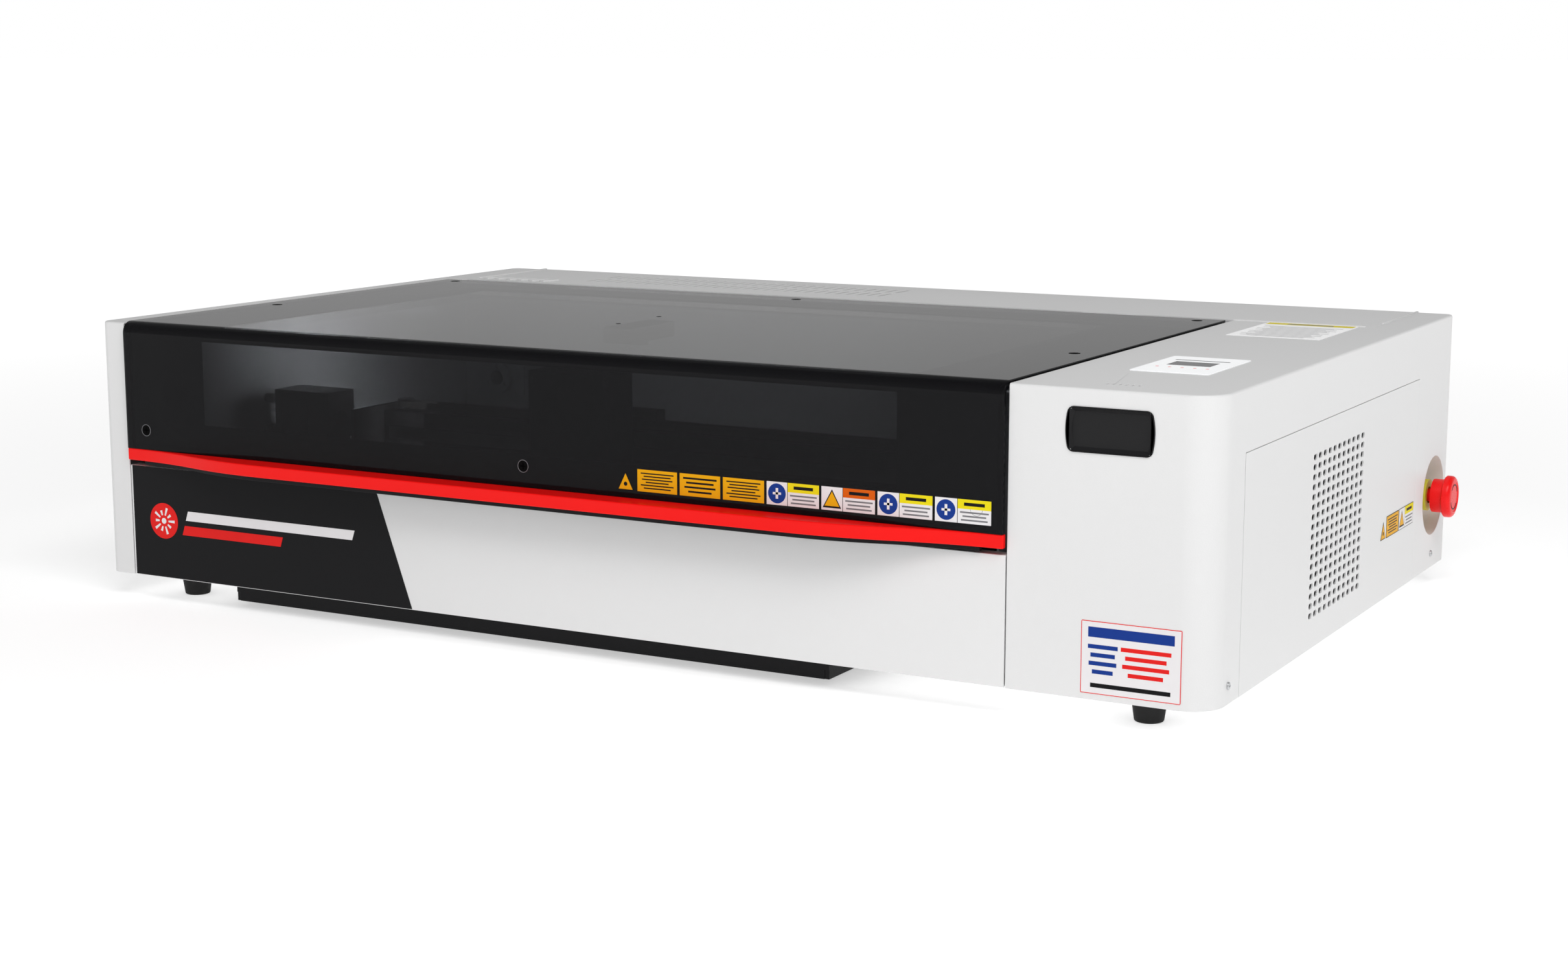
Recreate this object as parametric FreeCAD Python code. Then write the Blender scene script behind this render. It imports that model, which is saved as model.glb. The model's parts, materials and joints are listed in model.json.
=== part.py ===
import FreeCAD, Part
import math
import os
from FreeCAD import Vector

# Closed-cabinet laser engraver: sheet-metal case, smoked lid, drop-down front door, crumb tray,
# moving gantry with a laser head, and the tube, fan and electronics behind and beside the chamber.
# Millimetres. Case frame while building: X to the right with 0 at the case centre,
# Y to the rear with 0 at the front face, Z up with 0 at the floor.
# save() moves everything so that the origin is the bottom centre of the whole object's box.

# ---- driving dimensions -------------------------------------------------------------------
CASE_W = 1100.0
CASE_D = 678.0
BODY_H = 240.0
FOOT_H = 23.0
FOOT_LOW_R = 11.65
FOOT_TOP_R = 15.0
SHEET = 1.5
FRONT_RIGHT_R = 28.0
CORNER_R = 9.0
EDGE_R = 2.0
SEAM = 0.6

HALF_W = CASE_W / 2
BODY_Z0 = FOOT_H
BODY_Z1 = FOOT_H + BODY_H

# lid opening between the left strip and the right electronics housing
OPEN_X0 = -521.4
OPEN_X1 = 381.4

# lid: one bent sheet
LID_SIDE_GAP = 2.4
LID_X0 = OPEN_X0 + LID_SIDE_GAP
LID_X1 = OPEN_X1 - LID_SIDE_GAP
LID_T = 4.0
LID_R = 11.0
LID_TOP = BODY_Z1 + 1.5
LID_FRONT = -4.0
LID_REAR = 505.0
LID_BOTTOM = BODY_Z0 + 122.0
LINER_T = 1.5
HINGE_Y = 513.5
HINGE_Z = 259.0
HINGE_PIN_R = 2.0
KNUCKLE_R = 4.0
HINGE_XS = (-400.0, 260.0)

# bowed handle under the lid's front edge
HANDLE_H = 11.0
HANDLE_BOW = 22.0
HANDLE_TAPER = 176.0
HANDLE_BACK = 1.5
LIP_INSET = 2.0
LIP_T = 3.5
LIP_END_GAP = 20.0

# front door and its pivots
DOOR_H = 105.6
DOOR_DEPTH = 13.0
DOOR_PIVOT_Y = 6.0
DOOR_PIVOT_Z = BODY_Z0 + 6.0
DOOR_PIN_R = 3.0

# chamber
WALL_L = -505.5
WALL_R = 366.0
LEDGE_Z = 256.0
LEDGE_Y0 = 8.0
BULKHEAD_Y = 515.0
BULKHEAD_TOP = 246.0
COVER_Y0 = 521.0
COVER_X0 = -513.0
COVER_X1 = 516.0

# crumb tray
TRAY_X0 = -412.0
TRAY_X1 = 216.0
TRAY_Y0 = 19.0
TRAY_Y1 = 490.0
TRAY_Z0 = 5.3
TRAY_Z1 = 21.5
TRAY_T = 1.2

# optics
BEAM_Z = 158.0
PORT_X = -458.0
PATH_Y = 170.0
TUBE_Y = 600.0
TUBE_R = 27.5

# gantry
BEAM_Y0 = 196.0
BEAM_Y1 = 216.0
BEAM_BOTTOM = 126.0
BEAM_TOP = 166.0
BEAM_X0 = -372.0
BEAM_X1 = 332.0
SHAFT_Y = 492.0
SHAFT_Z = 104.0
PULLEY_R = 8.0
HEAD_X = -122.5
HEAD_HALF = 45.5
HEAD_TOP = 223.0

# emergency stop on the right side
ESTOP_Y = 626.5
ESTOP_Z = BODY_Z0 + 70.6
ESTOP_FRONT = HALF_W + 20.8
ESTOP_HEAD_L = 9.4
ESTOP_BACK = ESTOP_FRONT - ESTOP_HEAD_L - 0.3
CUP_R = 38.0
CUP_DEPTH = 20.0

# rear exhaust
DUCT_X = 150.0
DUCT_Z = 77.0
DUCT_HALF = 48.0
SPIGOT_R = 49.0
SPIGOT_L = 30.0

# the whole object's box, which gives the origin
PAN_HEAD_H = 1.6
BOX_X0 = -HALF_W - PAN_HEAD_H
BOX_Y0 = LID_FRONT - HANDLE_BOW
BOX_Y1 = CASE_D + SPIGOT_L
ORIGIN = Vector((BOX_X0 + ESTOP_FRONT) / 2, (BOX_Y0 + BOX_Y1) / 2, 0)

X_AXIS = Vector(1, 0, 0)
Y_AXIS = Vector(0, 1, 0)
Z_AXIS = Vector(0, 0, 1)


# ---- helpers ------------------------------------------------------------------------------
def block(x0, x1, y0, y1, z0, z1):
    return Part.makeBox(x1 - x0, y1 - y0, z1 - z0, Vector(x0, y0, z0))


def rod(radius, length, base, axis):
    return Part.makeCylinder(radius, length, Vector(*base), axis)


def tube(outer, inner, length, base, axis):
    return rod(outer, length, base, axis).cut(rod(inner, length, base, axis))


def fuse(shapes):
    first = shapes[0]
    if len(shapes) == 1:
        return first
    return first.multiFuse(shapes[1:]).removeSplitter()


def cut(shape, tools):
    return shape.cut(Part.makeCompound(tools))


def edges_along(shape, axis, near):
    """Straight edges parallel to axis whose middle passes the test near."""
    found = []
    for edge in shape.Edges:
        if len(edge.Vertexes) != 2:
            continue
        run = edge.Vertexes[1].Point - edge.Vertexes[0].Point
        if run.Length > 1e-6 and abs(abs(run.normalize().dot(axis)) - 1) < 1e-6:
            if near(edge.CenterOfMass):
                found.append(edge)
    return found


def rims(shape, centre, radius):
    """Full circular edges of one radius around one centre."""
    found = []
    for edge in shape.Edges:
        if len(edge.Vertexes) == 1 and edge.CenterOfMass.sub(centre).Length < 0.01:
            if abs(edge.Length - 2 * math.pi * radius) < 0.01:
                found.append(edge)
    return found


def rounded(shape, radius, axis, near=lambda point: True):
    return shape.makeFillet(radius, edges_along(shape, axis, near))


def obround(length, width, depth, centre, along, into):
    """Slot cutter: a box with two round ends, along one axis and cut into another."""
    half = (length - width) / 2
    across = along.cross(into)
    corner = centre - along * half - across * (width / 2)
    edges = []
    corners = [corner, corner + along * 2 * half]
    corners += [corners[1] + across * width, corner + across * width]
    edges.append(Part.LineSegment(corners[0], corners[1]).toShape())
    edges.append(Part.Arc(corners[1], centre + along * (length / 2), corners[2]).toShape())
    edges.append(Part.LineSegment(corners[2], corners[3]).toShape())
    edges.append(Part.Arc(corners[3], centre - along * (length / 2), corners[0]).toShape())
    return Part.Face(Part.Wire(edges)).extrude(into * depth)


def pan_screw(head_r, head_h, shank_r, shank_l, base, out):
    """Pan-head screw whose head stands on a face at base and whose shank goes in."""
    head = rod(head_r, head_h, base, out)
    head = head.makeFillet(head_h * 0.45, rims(head, Vector(*base) + out * head_h, head_r))
    shank = rod(shank_r, shank_l, base, out * -1)
    body = head.fuse(shank).removeSplitter()
    side = Vector(0, 0, 1) if abs(out.z) < 0.5 else Vector(1, 0, 0)
    other = out.cross(side)
    slots = []
    for one, two in ((side, other), (other, side)):
        centre = Vector(*base) + out * (head_h * 0.55)
        corner = centre - one * (head_r * 0.55) - two * (head_r * 0.11)
        edges = [corner, corner + one * head_r * 1.1]
        edges += [edges[1] + two * head_r * 0.22, corner + two * head_r * 0.22]
        face = Part.Face(Part.makePolygon(edges + [edges[0]]))
        slots.append(face.extrude(out * head_h))
    return cut(body, slots)


def save(node, shape):
    solids = shape.Solids
    placed = Part.makeCompound([solid.copy() for solid in solids]) if len(solids) > 1 else solids[0].copy()
    placed.translate(ORIGIN * -1)
    placed.exportStep(os.path.join("parts", node + ".step"))
    print(node, len(solids), "solids", round(placed.Volume / 1000, 1), "cm3", placed.isValid())


# ---- case ---------------------------------------------------------------------------------
def case_prism(inset, z0, z1):
    def front_right(point):
        return point.x > 0 and point.y < CASE_D / 2

    body = block(-HALF_W + inset, HALF_W - inset, inset, CASE_D - inset, z0, z1)
    body = rounded(body, CORNER_R - inset, Z_AXIS, lambda point: not front_right(point))
    return rounded(body, FRONT_RIGHT_R - inset, Z_AXIS, front_right)


def case_shell():
    """The whole case as one bent skin, with soft top edges, before it is divided into panels."""
    outer = case_prism(0, BODY_Z0, BODY_Z1)
    top_edges = [e for e in outer.Edges if abs(e.CenterOfMass.z - BODY_Z1) < 1e-6]
    outer = outer.makeFillet(EDGE_R, top_edges)
    return outer.cut(case_prism(SHEET, BODY_Z0 - 1, BODY_Z1 - SHEET))


PANEL_Y0 = 61.0
PANEL_Y1 = 560.0
PANEL_TOP = BODY_Z0 + 190.5
SCREEN_X0 = 433.0
SCREEN_X1 = 499.0
SCREEN_Y0 = 117.0
SCREEN_Y1 = 221.0
SCREEN_FLANGE = 2.0
INSERT_X0 = 428.0
INSERT_X1 = 500.0
INSERT_Z0 = BODY_Z0 + 191.0
INSERT_Z1 = BODY_Z0 + 226.0
INSERT_BULGE = 2.5
SIDE_SCREWS = ((35.0, BODY_Z0 + 15.0), (625.0, BODY_Z0 + 14.0))
SCREW_HOLE_R = 1.6
SCREW_SHANK_R = 1.5


def insert_outline(inset, y):
    """Oblong with slightly bulged ends and rounded corners, in the front plane."""
    x0 = INSERT_X0 + INSERT_BULGE + inset
    x1 = INSERT_X1 - INSERT_BULGE - inset
    z0 = INSERT_Z0 + inset
    z1 = INSERT_Z1 - inset
    mid = (z0 + z1) / 2
    corners = [Vector(x0, y, z0), Vector(x1, y, z0), Vector(x1, y, z1), Vector(x0, y, z1)]
    edges = [
        Part.LineSegment(corners[0], corners[1]).toShape(),
        Part.Arc(corners[1], Vector(x1 + INSERT_BULGE, y, mid), corners[2]).toShape(),
        Part.LineSegment(corners[2], corners[3]).toShape(),
        Part.Arc(corners[3], Vector(x0 - INSERT_BULGE, y, mid), corners[0]).toShape(),
    ]
    return Part.Wire(edges)


def insert_prism(inset, y0, y1, corner_r):
    body = Part.Face(insert_outline(inset, y0)).extrude(Vector(0, y1 - y0, 0))
    return rounded(body, corner_r, Y_AXIS)


def left_side_panel(shell):
    strip = block(-HALF_W, OPEN_X0, 0, COVER_Y0, 0, BODY_Z1)
    rear = block(-HALF_W, COVER_X0 - SEAM, COVER_Y0, CASE_D, 0, BODY_Z1)
    rear_low = block(-HALF_W, OPEN_X0, COVER_Y0, CASE_D, 0, BODY_Z1)
    top_only = block(OPEN_X0, COVER_X0 - SEAM, COVER_Y0, CASE_D, BODY_Z1 - SHEET, BODY_Z1)
    panel = shell.common(fuse([strip, rear_low])).fuse(shell.common(rear).common(top_only))
    panel = panel.removeSplitter()
    holes = [rod(SCREW_HOLE_R, 4, (-HALF_W - 1, y, z), X_AXIS) for y, z in SIDE_SCREWS]
    return cut(panel, holes)


def right_housing(shell):
    """Front, top and right side of the electronics bay in one bent sheet."""
    front_part = block(OPEN_X1, HALF_W, 0, COVER_Y0, 0, BODY_Z1)
    rear_part = block(COVER_X1 + SEAM, HALF_W, COVER_Y0, CASE_D, 0, BODY_Z1)
    body = shell.common(fuse([front_part, rear_part]))
    tools = [block(HALF_W - 5, HALF_W + 1, PANEL_Y0, PANEL_Y1, 0, PANEL_TOP)]
    tools.append(screen_block(SCREEN_FLANGE, BODY_Z1 - 5, BODY_Z1 + 1))
    tools.append(insert_prism(1.0, -1, SHEET + 1, 5.0))
    tools.append(rod(CUP_R, 10, (HALF_W - 5, ESTOP_Y, ESTOP_Z), X_AXIS))
    for y, z in SIDE_SCREWS:
        tools.append(rod(SCREW_HOLE_R, 4, (HALF_W - 3, y, z), X_AXIS))
    for index in range(6):
        centre = Vector(448.0 + 5.2 * index, 33.5, BODY_Z1 - 3)
        tools.append(obround(8.0, 1.6, 6, centre, Y_AXIS, Z_AXIS))
    body = cut(body, tools)
    inner = HALF_W - SHEET
    rim_w = 12.0
    joggles = [
        block(inner - SHEET, inner, PANEL_Y0 - 6, PANEL_Y0 + rim_w, BODY_Z0 + 3, PANEL_TOP + 6),
        block(inner - SHEET, inner, PANEL_Y1 - rim_w, PANEL_Y1 + 6, BODY_Z0 + 3, PANEL_TOP + 6),
        block(inner - SHEET, inner, PANEL_Y0, PANEL_Y1, PANEL_TOP - rim_w, PANEL_TOP + 6),
    ]
    return fuse([body] + joggles)


VENT_COLS = 11
VENT_ROWS = 17
VENT_Y0 = 240.0
VENT_Y1 = 377.0
VENT_Z0 = BODY_Z0 + 28.5
VENT_Z1 = BODY_Z0 + 162.0


def access_panel():
    """Screwed side panel, flush in the housing's cut-out, with a plain grid of slots."""
    gap = SEAM
    panel = block(HALF_W - SHEET, HALF_W, PANEL_Y0 + gap, PANEL_Y1 - gap, BODY_Z0, PANEL_TOP - gap)
    slots = []
    step_y = (VENT_Y1 - VENT_Y0) / (VENT_COLS - 1)
    step_z = (VENT_Z1 - VENT_Z0) / (VENT_ROWS - 1)
    for col in range(VENT_COLS):
        for row in range(VENT_ROWS):
            centre = Vector(HALF_W - 3, VENT_Y0 + step_y * col, VENT_Z0 + step_z * row)
            slots.append(obround(9.6, 5.0, 6, centre, Y_AXIS, X_AXIS))
    return cut(panel, slots)


def rear_cover():
    """Top cover over the rear bay, with a folded front edge, a rear lip and ventilation slots."""
    top = block(COVER_X0, COVER_X1, COVER_Y0, CASE_D + 2, BODY_Z1 - SHEET, BODY_Z1)
    front = block(COVER_X0, COVER_X1, COVER_Y0, COVER_Y0 + SHEET, BODY_Z1 - 16, BODY_Z1)
    lip = block(COVER_X0, COVER_X1, CASE_D + 0.5, CASE_D + 2, BODY_Z1 - 16, BODY_Z1)
    body = fuse([top, front, lip])
    ridge = edges_along(body, X_AXIS, lambda p: p.z > BODY_Z1 - 0.1)
    body = body.makeFillet(1.2, ridge)
    slots = []
    for col in range(30):
        x = -380.0 + 360.0 / 29 * col
        for y in (589.0, 630.0):
            slots.append(obround(36, 4, 6, Vector(x, y, BODY_Z1 - 4), Y_AXIS, Z_AXIS))
    return cut(body, slots)


def rear_panel():
    """Rear wall between the two side panels, with the exhaust, mains and data openings."""
    wall = block(OPEN_X0 + SEAM, COVER_X1, CASE_D - SHEET, CASE_D, BODY_Z0, BODY_Z1 - SHEET - 0.3)
    tools = [rod(SPIGOT_R - 3, 10, (DUCT_X, CASE_D - 5, DUCT_Z), Y_AXIS)]
    tools.append(block(INLET_X - 14, INLET_X + 14, CASE_D - 5, CASE_D + 1, INLET_Z - 21, INLET_Z + 24))
    return cut(wall, tools)


def base_pan():
    """Floor sheet with an opening over the crumb tray and an upturned front edge."""
    inset = SHEET + 0.3
    pan = case_prism(inset, BODY_Z0, BODY_Z0 + SHEET)
    front_cut = block(OPEN_X0 - 0.5, OPEN_X1 + 0.5, -1, 16, 0, 60)
    drop = block(TRAY_X0 + 12, TRAY_X1 - 12, 42, 470, 0, 60)
    pan = cut(pan, [front_cut, drop])
    upstand = block(WALL_L + 0.5, WALL_R - 0.5, 16, 17.5, BODY_Z0, BODY_Z0 + 12)
    return fuse([pan, upstand])


def foot(x, y):
    cone = Part.makeCone(FOOT_LOW_R, FOOT_TOP_R, FOOT_H, Vector(x, y, 0), Z_AXIS)
    return cone.makeFillet(1.5, rims(cone, Vector(x, y, 0), FOOT_LOW_R))


def feet():
    return [foot(x, y) for x in (-484.0, 484.0) for y in (45.0, 633.0)]


def housing_screws():
    screws = []
    for y, z in SIDE_SCREWS:
        screws.append(pan_screw(3.0, PAN_HEAD_H, SCREW_SHANK_R, 5, (HALF_W, y, z), X_AXIS))
        screws.append(pan_screw(3.0, PAN_HEAD_H, SCREW_SHANK_R, 5, (-HALF_W, y, z), X_AXIS * -1))
    return screws


# ---- chamber ------------------------------------------------------------------------------
def left_inner_wall():
    wall = block(WALL_L - SHEET, WALL_L, SHEET + 14, BULKHEAD_Y - 0.2, BODY_Z0 + SHEET, LEDGE_Z)
    ledge = block(OPEN_X0, WALL_L, LEDGE_Y0, BULKHEAD_Y - 0.2, LEDGE_Z - SHEET, LEDGE_Z)
    hem = block(OPEN_X0 - SHEET, OPEN_X0, LEDGE_Y0, BULKHEAD_Y - 0.2, LEDGE_Z - SHEET, BODY_Z1 - SHEET)
    return fuse([wall, ledge, hem])


def right_inner_wall():
    wall = block(WALL_R, WALL_R + SHEET, SHEET + 14, BULKHEAD_Y - 0.2, BODY_Z0 + SHEET, LEDGE_Z)
    ledge = block(WALL_R, OPEN_X1, LEDGE_Y0, BULKHEAD_Y - 0.2, LEDGE_Z - SHEET, LEDGE_Z)
    hem = block(OPEN_X1, OPEN_X1 + SHEET, LEDGE_Y0, BULKHEAD_Y - 0.2, LEDGE_Z - SHEET, BODY_Z1 - SHEET)
    shaft_hole = rod(7, 10, (WALL_R - 4, SHAFT_Y, SHAFT_Z), X_AXIS)
    return cut(fuse([wall, ledge, hem]), [shaft_hole])


def rear_bulkhead():
    """Wall of two folded sheets that meet over the exhaust vent, and a sill strip below the vent."""
    vent_half = DUCT_HALF - 2
    vent_x0 = DUCT_X - vent_half
    vent_x1 = DUCT_X + vent_half
    floor_z = BODY_Z0 + SHEET

    def wall(x0, x1, z0, z1):
        return block(x0, x1, BULKHEAD_Y, BULKHEAD_Y + SHEET, z0, z1)

    def folded_top(x0, x1):
        return block(x0, x1, BULKHEAD_Y, COVER_Y0 + 6, BULKHEAD_TOP - SHEET, BULKHEAD_TOP)

    left = fuse([wall(OPEN_X0, vent_x0, floor_z, BULKHEAD_TOP), folded_top(OPEN_X0, vent_x0)])
    left = left.cut(rod(9, 10, (PORT_X, BULKHEAD_Y - 4, BEAM_Z), Y_AXIS))
    over_vent = fuse([wall(vent_x0, vent_x1, DUCT_Z + vent_half, BULKHEAD_TOP), folded_top(vent_x0, vent_x1)])
    sill = wall(vent_x0, vent_x1, floor_z, DUCT_Z - vent_half)
    right = fuse([wall(vent_x1, HALF_W - 3, floor_z, BULKHEAD_TOP), folded_top(vent_x1, OPEN_X1)])
    return [left, over_vent, sill, right]


def front_crossbar():
    """Box rail across the chamber's front, behind the gap between the door and the lid."""
    outer = block(WALL_L + 0.2, WALL_R - 0.2, 18, 34, 112, 142)
    inner = block(WALL_L - 1, WALL_R + 1, 18 + SHEET, 36, 112 + SHEET, 142 - SHEET)
    return outer.cut(inner)


def door_magnets():
    """Two catches under the crossbar's front face which hold the door shut."""
    return [block(x - 15, x + 15, 13.4, 18, 113, 125) for x in (-300.0, 160.0)]


BED_Z0 = 45.0
BED_Z1 = 60.0
BED_Y0 = 24.0
BED_Y1 = 474.0
BED_X0 = WALL_L + 6
BED_X1 = WALL_R - 6


def bed_rail(wall, inward):
    """Angle rail on a side wall which carries one edge of the honeycomb bed."""
    x0, x1 = sorted((wall, wall + inward * 22))
    flat = block(x0, x1, BED_Y0 + 4, BED_Y1, BED_Z0 - 2, BED_Z0)
    x0, x1 = sorted((wall, wall + inward * 2))
    web = block(x0, x1, BED_Y0 + 4, BED_Y1, BED_Z0 - 16, BED_Z0)
    return fuse([flat, web])


def honeycomb_bed():
    """Aluminium edge frame around the honeycomb core's bearing surface, which is one thin slab."""
    outer = block(BED_X0, BED_X1, BED_Y0, BED_Y1, BED_Z0, BED_Z1)
    inner = block(BED_X0 + 14, BED_X1 - 14, BED_Y0 + 14, BED_Y1 - 14, BED_Z0 - 1, BED_Z1 + 1)
    core = block(BED_X0 + 14, BED_X1 - 14, BED_Y0 + 14, BED_Y1 - 14, BED_Z1 - 4, BED_Z1 - 1)
    return [outer.cut(inner), core]


def beam_port_flange():
    """Plate with a round tube flange where the beam enters the chamber."""
    plate = block(PORT_X - 32, PORT_X + 32, BULKHEAD_Y - 2, BULKHEAD_Y, BEAM_Z - 21, BEAM_Z + 21)
    plate = rounded(plate, 5, Y_AXIS)
    ring = rod(17.5, 8, (PORT_X, BULKHEAD_Y - 8, BEAM_Z), Y_AXIS)
    tools = [rod(8, 20, (PORT_X, BULKHEAD_Y - 12, BEAM_Z), Y_AXIS)]
    for turn in (90.0, 210.0, 330.0):
        angle = math.radians(turn)
        spot = (PORT_X + 12.5 * math.cos(angle), BULKHEAD_Y - 9, BEAM_Z + 12.5 * math.sin(angle))
        tools.append(rod(2, 4, spot, Y_AXIS))
    for sx in (-1, 1):
        for sz in (-1, 1):
            centre = Vector(PORT_X + 24 * sx, BULKHEAD_Y - 3, BEAM_Z + 16 * sz)
            tools.append(obround(8, 3, 2.2, centre, X_AXIS, Y_AXIS))
    return cut(fuse([plate, ring]), tools)


# ---- lid ----------------------------------------------------------------------------------
def lid_profile(near, far, rear, bottom):
    """Bent-sheet section between two depths below the lid's outer surface, in the YZ plane."""
    edges = []
    y_out = LID_FRONT + near
    z_out = LID_TOP - near
    y_in = LID_FRONT + far
    z_in = LID_TOP - far
    bend_y = LID_FRONT + LID_R
    bend_z = LID_TOP - LID_R
    half = math.sqrt(0.5)

    def point(y, z):
        return Vector(0, y, z)

    def on_bend(depth):
        reach = (LID_R - depth) * half
        return point(bend_y - reach, bend_z + reach)

    edges.append(Part.LineSegment(point(y_out, bottom), point(y_out, bend_z)).toShape())
    edges.append(Part.Arc(point(y_out, bend_z), on_bend(near), point(bend_y, z_out)).toShape())
    edges.append(Part.LineSegment(point(bend_y, z_out), point(rear, z_out)).toShape())
    edges.append(Part.LineSegment(point(rear, z_out), point(rear, z_in)).toShape())
    edges.append(Part.LineSegment(point(rear, z_in), point(bend_y, z_in)).toShape())
    edges.append(Part.Arc(point(bend_y, z_in), on_bend(far), point(y_in, bend_z)).toShape())
    edges.append(Part.LineSegment(point(y_in, bend_z), point(y_in, bottom)).toShape())
    edges.append(Part.LineSegment(point(y_in, bottom), point(y_out, bottom)).toShape())
    return Part.Wire(edges)


def lid_sheet(x0, x1, near, far, rear, bottom):
    face = Part.Face(lid_profile(near, far, rear, bottom))
    face.translate(Vector(x0, 0, 0))
    return face.extrude(Vector(x1 - x0, 0, 0))


LID_SCREW_R = 5.0
FRONT_SCREW_Z = BODY_Z0 + 140.5
FRONT_SCREW_XS = (-495.0, -68.0, 357.0)
TOP_SCREWS = ((-497.0, 190.0), (-497.0, 487.0), (-70.0, 487.0), (357.0, 488.0), (356.0, 191.0))


def countersunk(radius, base, out, grow, with_cross):
    """Countersunk screw with its head flush at base; grow makes the matching cutter."""
    into = out * -1
    cone = Part.makeCone(radius + grow, 2.6 + grow, 2.4, Vector(*base), into)
    shank = rod(2.5 + grow, 5.5, base, into)
    body = cone.fuse(shank).removeSplitter()
    if not with_cross:
        return body
    side = X_AXIS
    other = out.cross(side)
    slots = []
    for one, two in ((side, other), (other, side)):
        corner = Vector(*base) - one * 2.8 - two * 0.5 + into * 1.4
        points = [corner, corner + one * 5.6, corner + one * 5.6 + two, corner + two]
        slots.append(Part.Face(Part.makePolygon(points + [corner])).extrude(out * 3))
    return cut(body, slots)


def lid_screw_places():
    places = [((x, LID_FRONT, FRONT_SCREW_Z), Y_AXIS * -1) for x in FRONT_SCREW_XS]
    places += [((x, y, LID_TOP), Z_AXIS) for x, y in TOP_SCREWS]
    return places


def lid_screw_cutters():
    return [countersunk(LID_SCREW_R, base, out, 0.15, False) for base, out in lid_screw_places()]


def lid_shell():
    sheet = lid_sheet(LID_X0, LID_X1, 0, LID_T, LID_REAR, LID_BOTTOM)
    return cut(sheet, lid_screw_cutters())


def lid_frame():
    """Black steel frame bonded under the lid sheet: side arms, rear bar and front lower bar."""
    x0 = LID_X0 + 3
    x1 = LID_X1 - 3
    near = LID_T
    full = lid_sheet(x0, x1, near, near + LINER_T, LID_REAR - 2, LID_BOTTOM)
    hole = block(x0 + 46, x1 - 46, -10, 468, LID_BOTTOM + 26, LID_TOP)
    hole = hole.fuse(block(x0 + 46, x1 - 46, 20, 468, LID_BOTTOM, LID_TOP))
    return cut(full, lid_screw_cutters() + [hole])


def lid_screws():
    return [countersunk(LID_SCREW_R, base, out, 0, True) for base, out in lid_screw_places()]


def lid_camera():
    """Camera board housing under the lid's middle, with a lens looking down."""
    z1 = LID_TOP - LID_T
    body = block(-118, -88, 198, 281, z1 - 14, z1)
    body = rounded(body, 4, Z_AXIS)
    lens = rod(8, 5, (-103, 240, z1 - 19), Z_AXIS)
    return fuse([body, lens])


def handle_outline(inset, end_gap, z):
    """Plan of the bowed handle: straight middle, and an S-curve of two arcs at each end."""
    x0 = LID_X0 + end_gap
    x1 = LID_X1 + 0.5 - end_gap
    taper = HANDLE_TAPER - end_gap
    y_end = LID_FRONT + inset * 0.5
    y_mid = LID_FRONT - HANDLE_BOW + inset
    rise = y_end - y_mid
    radius = ((taper / 2) ** 2 + (rise / 2) ** 2) / rise
    sweep = math.asin(taper / 2 / radius) / 2
    sag_x = radius * math.sin(sweep)
    sag_y = radius * (1 - math.cos(sweep))

    def s_curve(x_end, sign):
        start = Vector(x_end, y_end, z)
        middle = Vector(x_end + sign * taper / 2, y_end - rise / 2, z)
        finish = Vector(x_end + sign * taper, y_mid, z)
        first = Part.Arc(start, Vector(x_end + sign * sag_x, y_end - sag_y, z), middle)
        last = Part.Arc(middle, Vector(x_end + sign * (taper - sag_x), y_mid + sag_y, z), finish)
        return [first.toShape(), last.toShape()]

    back = HANDLE_BACK
    edges = s_curve(x0, 1)
    edges.append(Part.LineSegment(Vector(x0 + taper, y_mid, z), Vector(x1 - taper, y_mid, z)).toShape())
    edges += s_curve(x1, -1)
    edges.append(Part.LineSegment(Vector(x1, y_end, z), Vector(x1, back, z)).toShape())
    edges.append(Part.LineSegment(Vector(x1, back, z), Vector(x0, back, z)).toShape())
    edges.append(Part.LineSegment(Vector(x0, back, z), Vector(x0, y_end, z)).toShape())
    return Part.Wire(Part.__sortEdges__(edges))


def lid_handle():
    face = Part.Face(handle_outline(0, 0, LID_BOTTOM - HANDLE_H))
    return face.extrude(Vector(0, 0, HANDLE_H))


def handle_lip():
    face = Part.Face(handle_outline(LIP_INSET, LIP_END_GAP, LID_BOTTOM - HANDLE_H - LIP_T))
    return face.extrude(Vector(0, 0, LIP_T))


def hinge_arms():
    """Lid side of the hinges: a leaf under the rear bar and one middle knuckle each."""
    arms = []
    for x in HINGE_XS:
        z1 = LID_TOP - LID_T - LINER_T
        leaf = block(x - 15, x + 15, 472, HINGE_Y - 2, z1 - 2, z1)
        knuckle = rod(KNUCKLE_R, 30, (x - 15, HINGE_Y, HINGE_Z), X_AXIS)
        bore = rod(HINGE_PIN_R + 0.05, 30, (x - 15, HINGE_Y, HINGE_Z), X_AXIS)
        arms.append(fuse([leaf, knuckle]).cut(bore))
    return arms


def hinge_leaves():
    """Body side of the hinges: a plate on the rear cover's folded edge and two knuckles each."""
    leaves = []
    for x in HINGE_XS:
        plate = block(x - 31, x + 31, COVER_Y0 - 2, COVER_Y0, BULKHEAD_TOP + 1, HINGE_Z)
        pieces = [plate]
        for x0 in (x - 31, x + 15.5):
            web = block(x0, x0 + 15.5, HINGE_Y, COVER_Y0, HINGE_Z - KNUCKLE_R, HINGE_Z)
            pieces += [rod(KNUCKLE_R, 15.5, (x0, HINGE_Y, HINGE_Z), X_AXIS), web]
        bore = rod(HINGE_PIN_R + 0.05, 70, (x - 35, HINGE_Y, HINGE_Z), X_AXIS)
        leaves.append(fuse(pieces).cut(bore))
    return leaves


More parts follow.
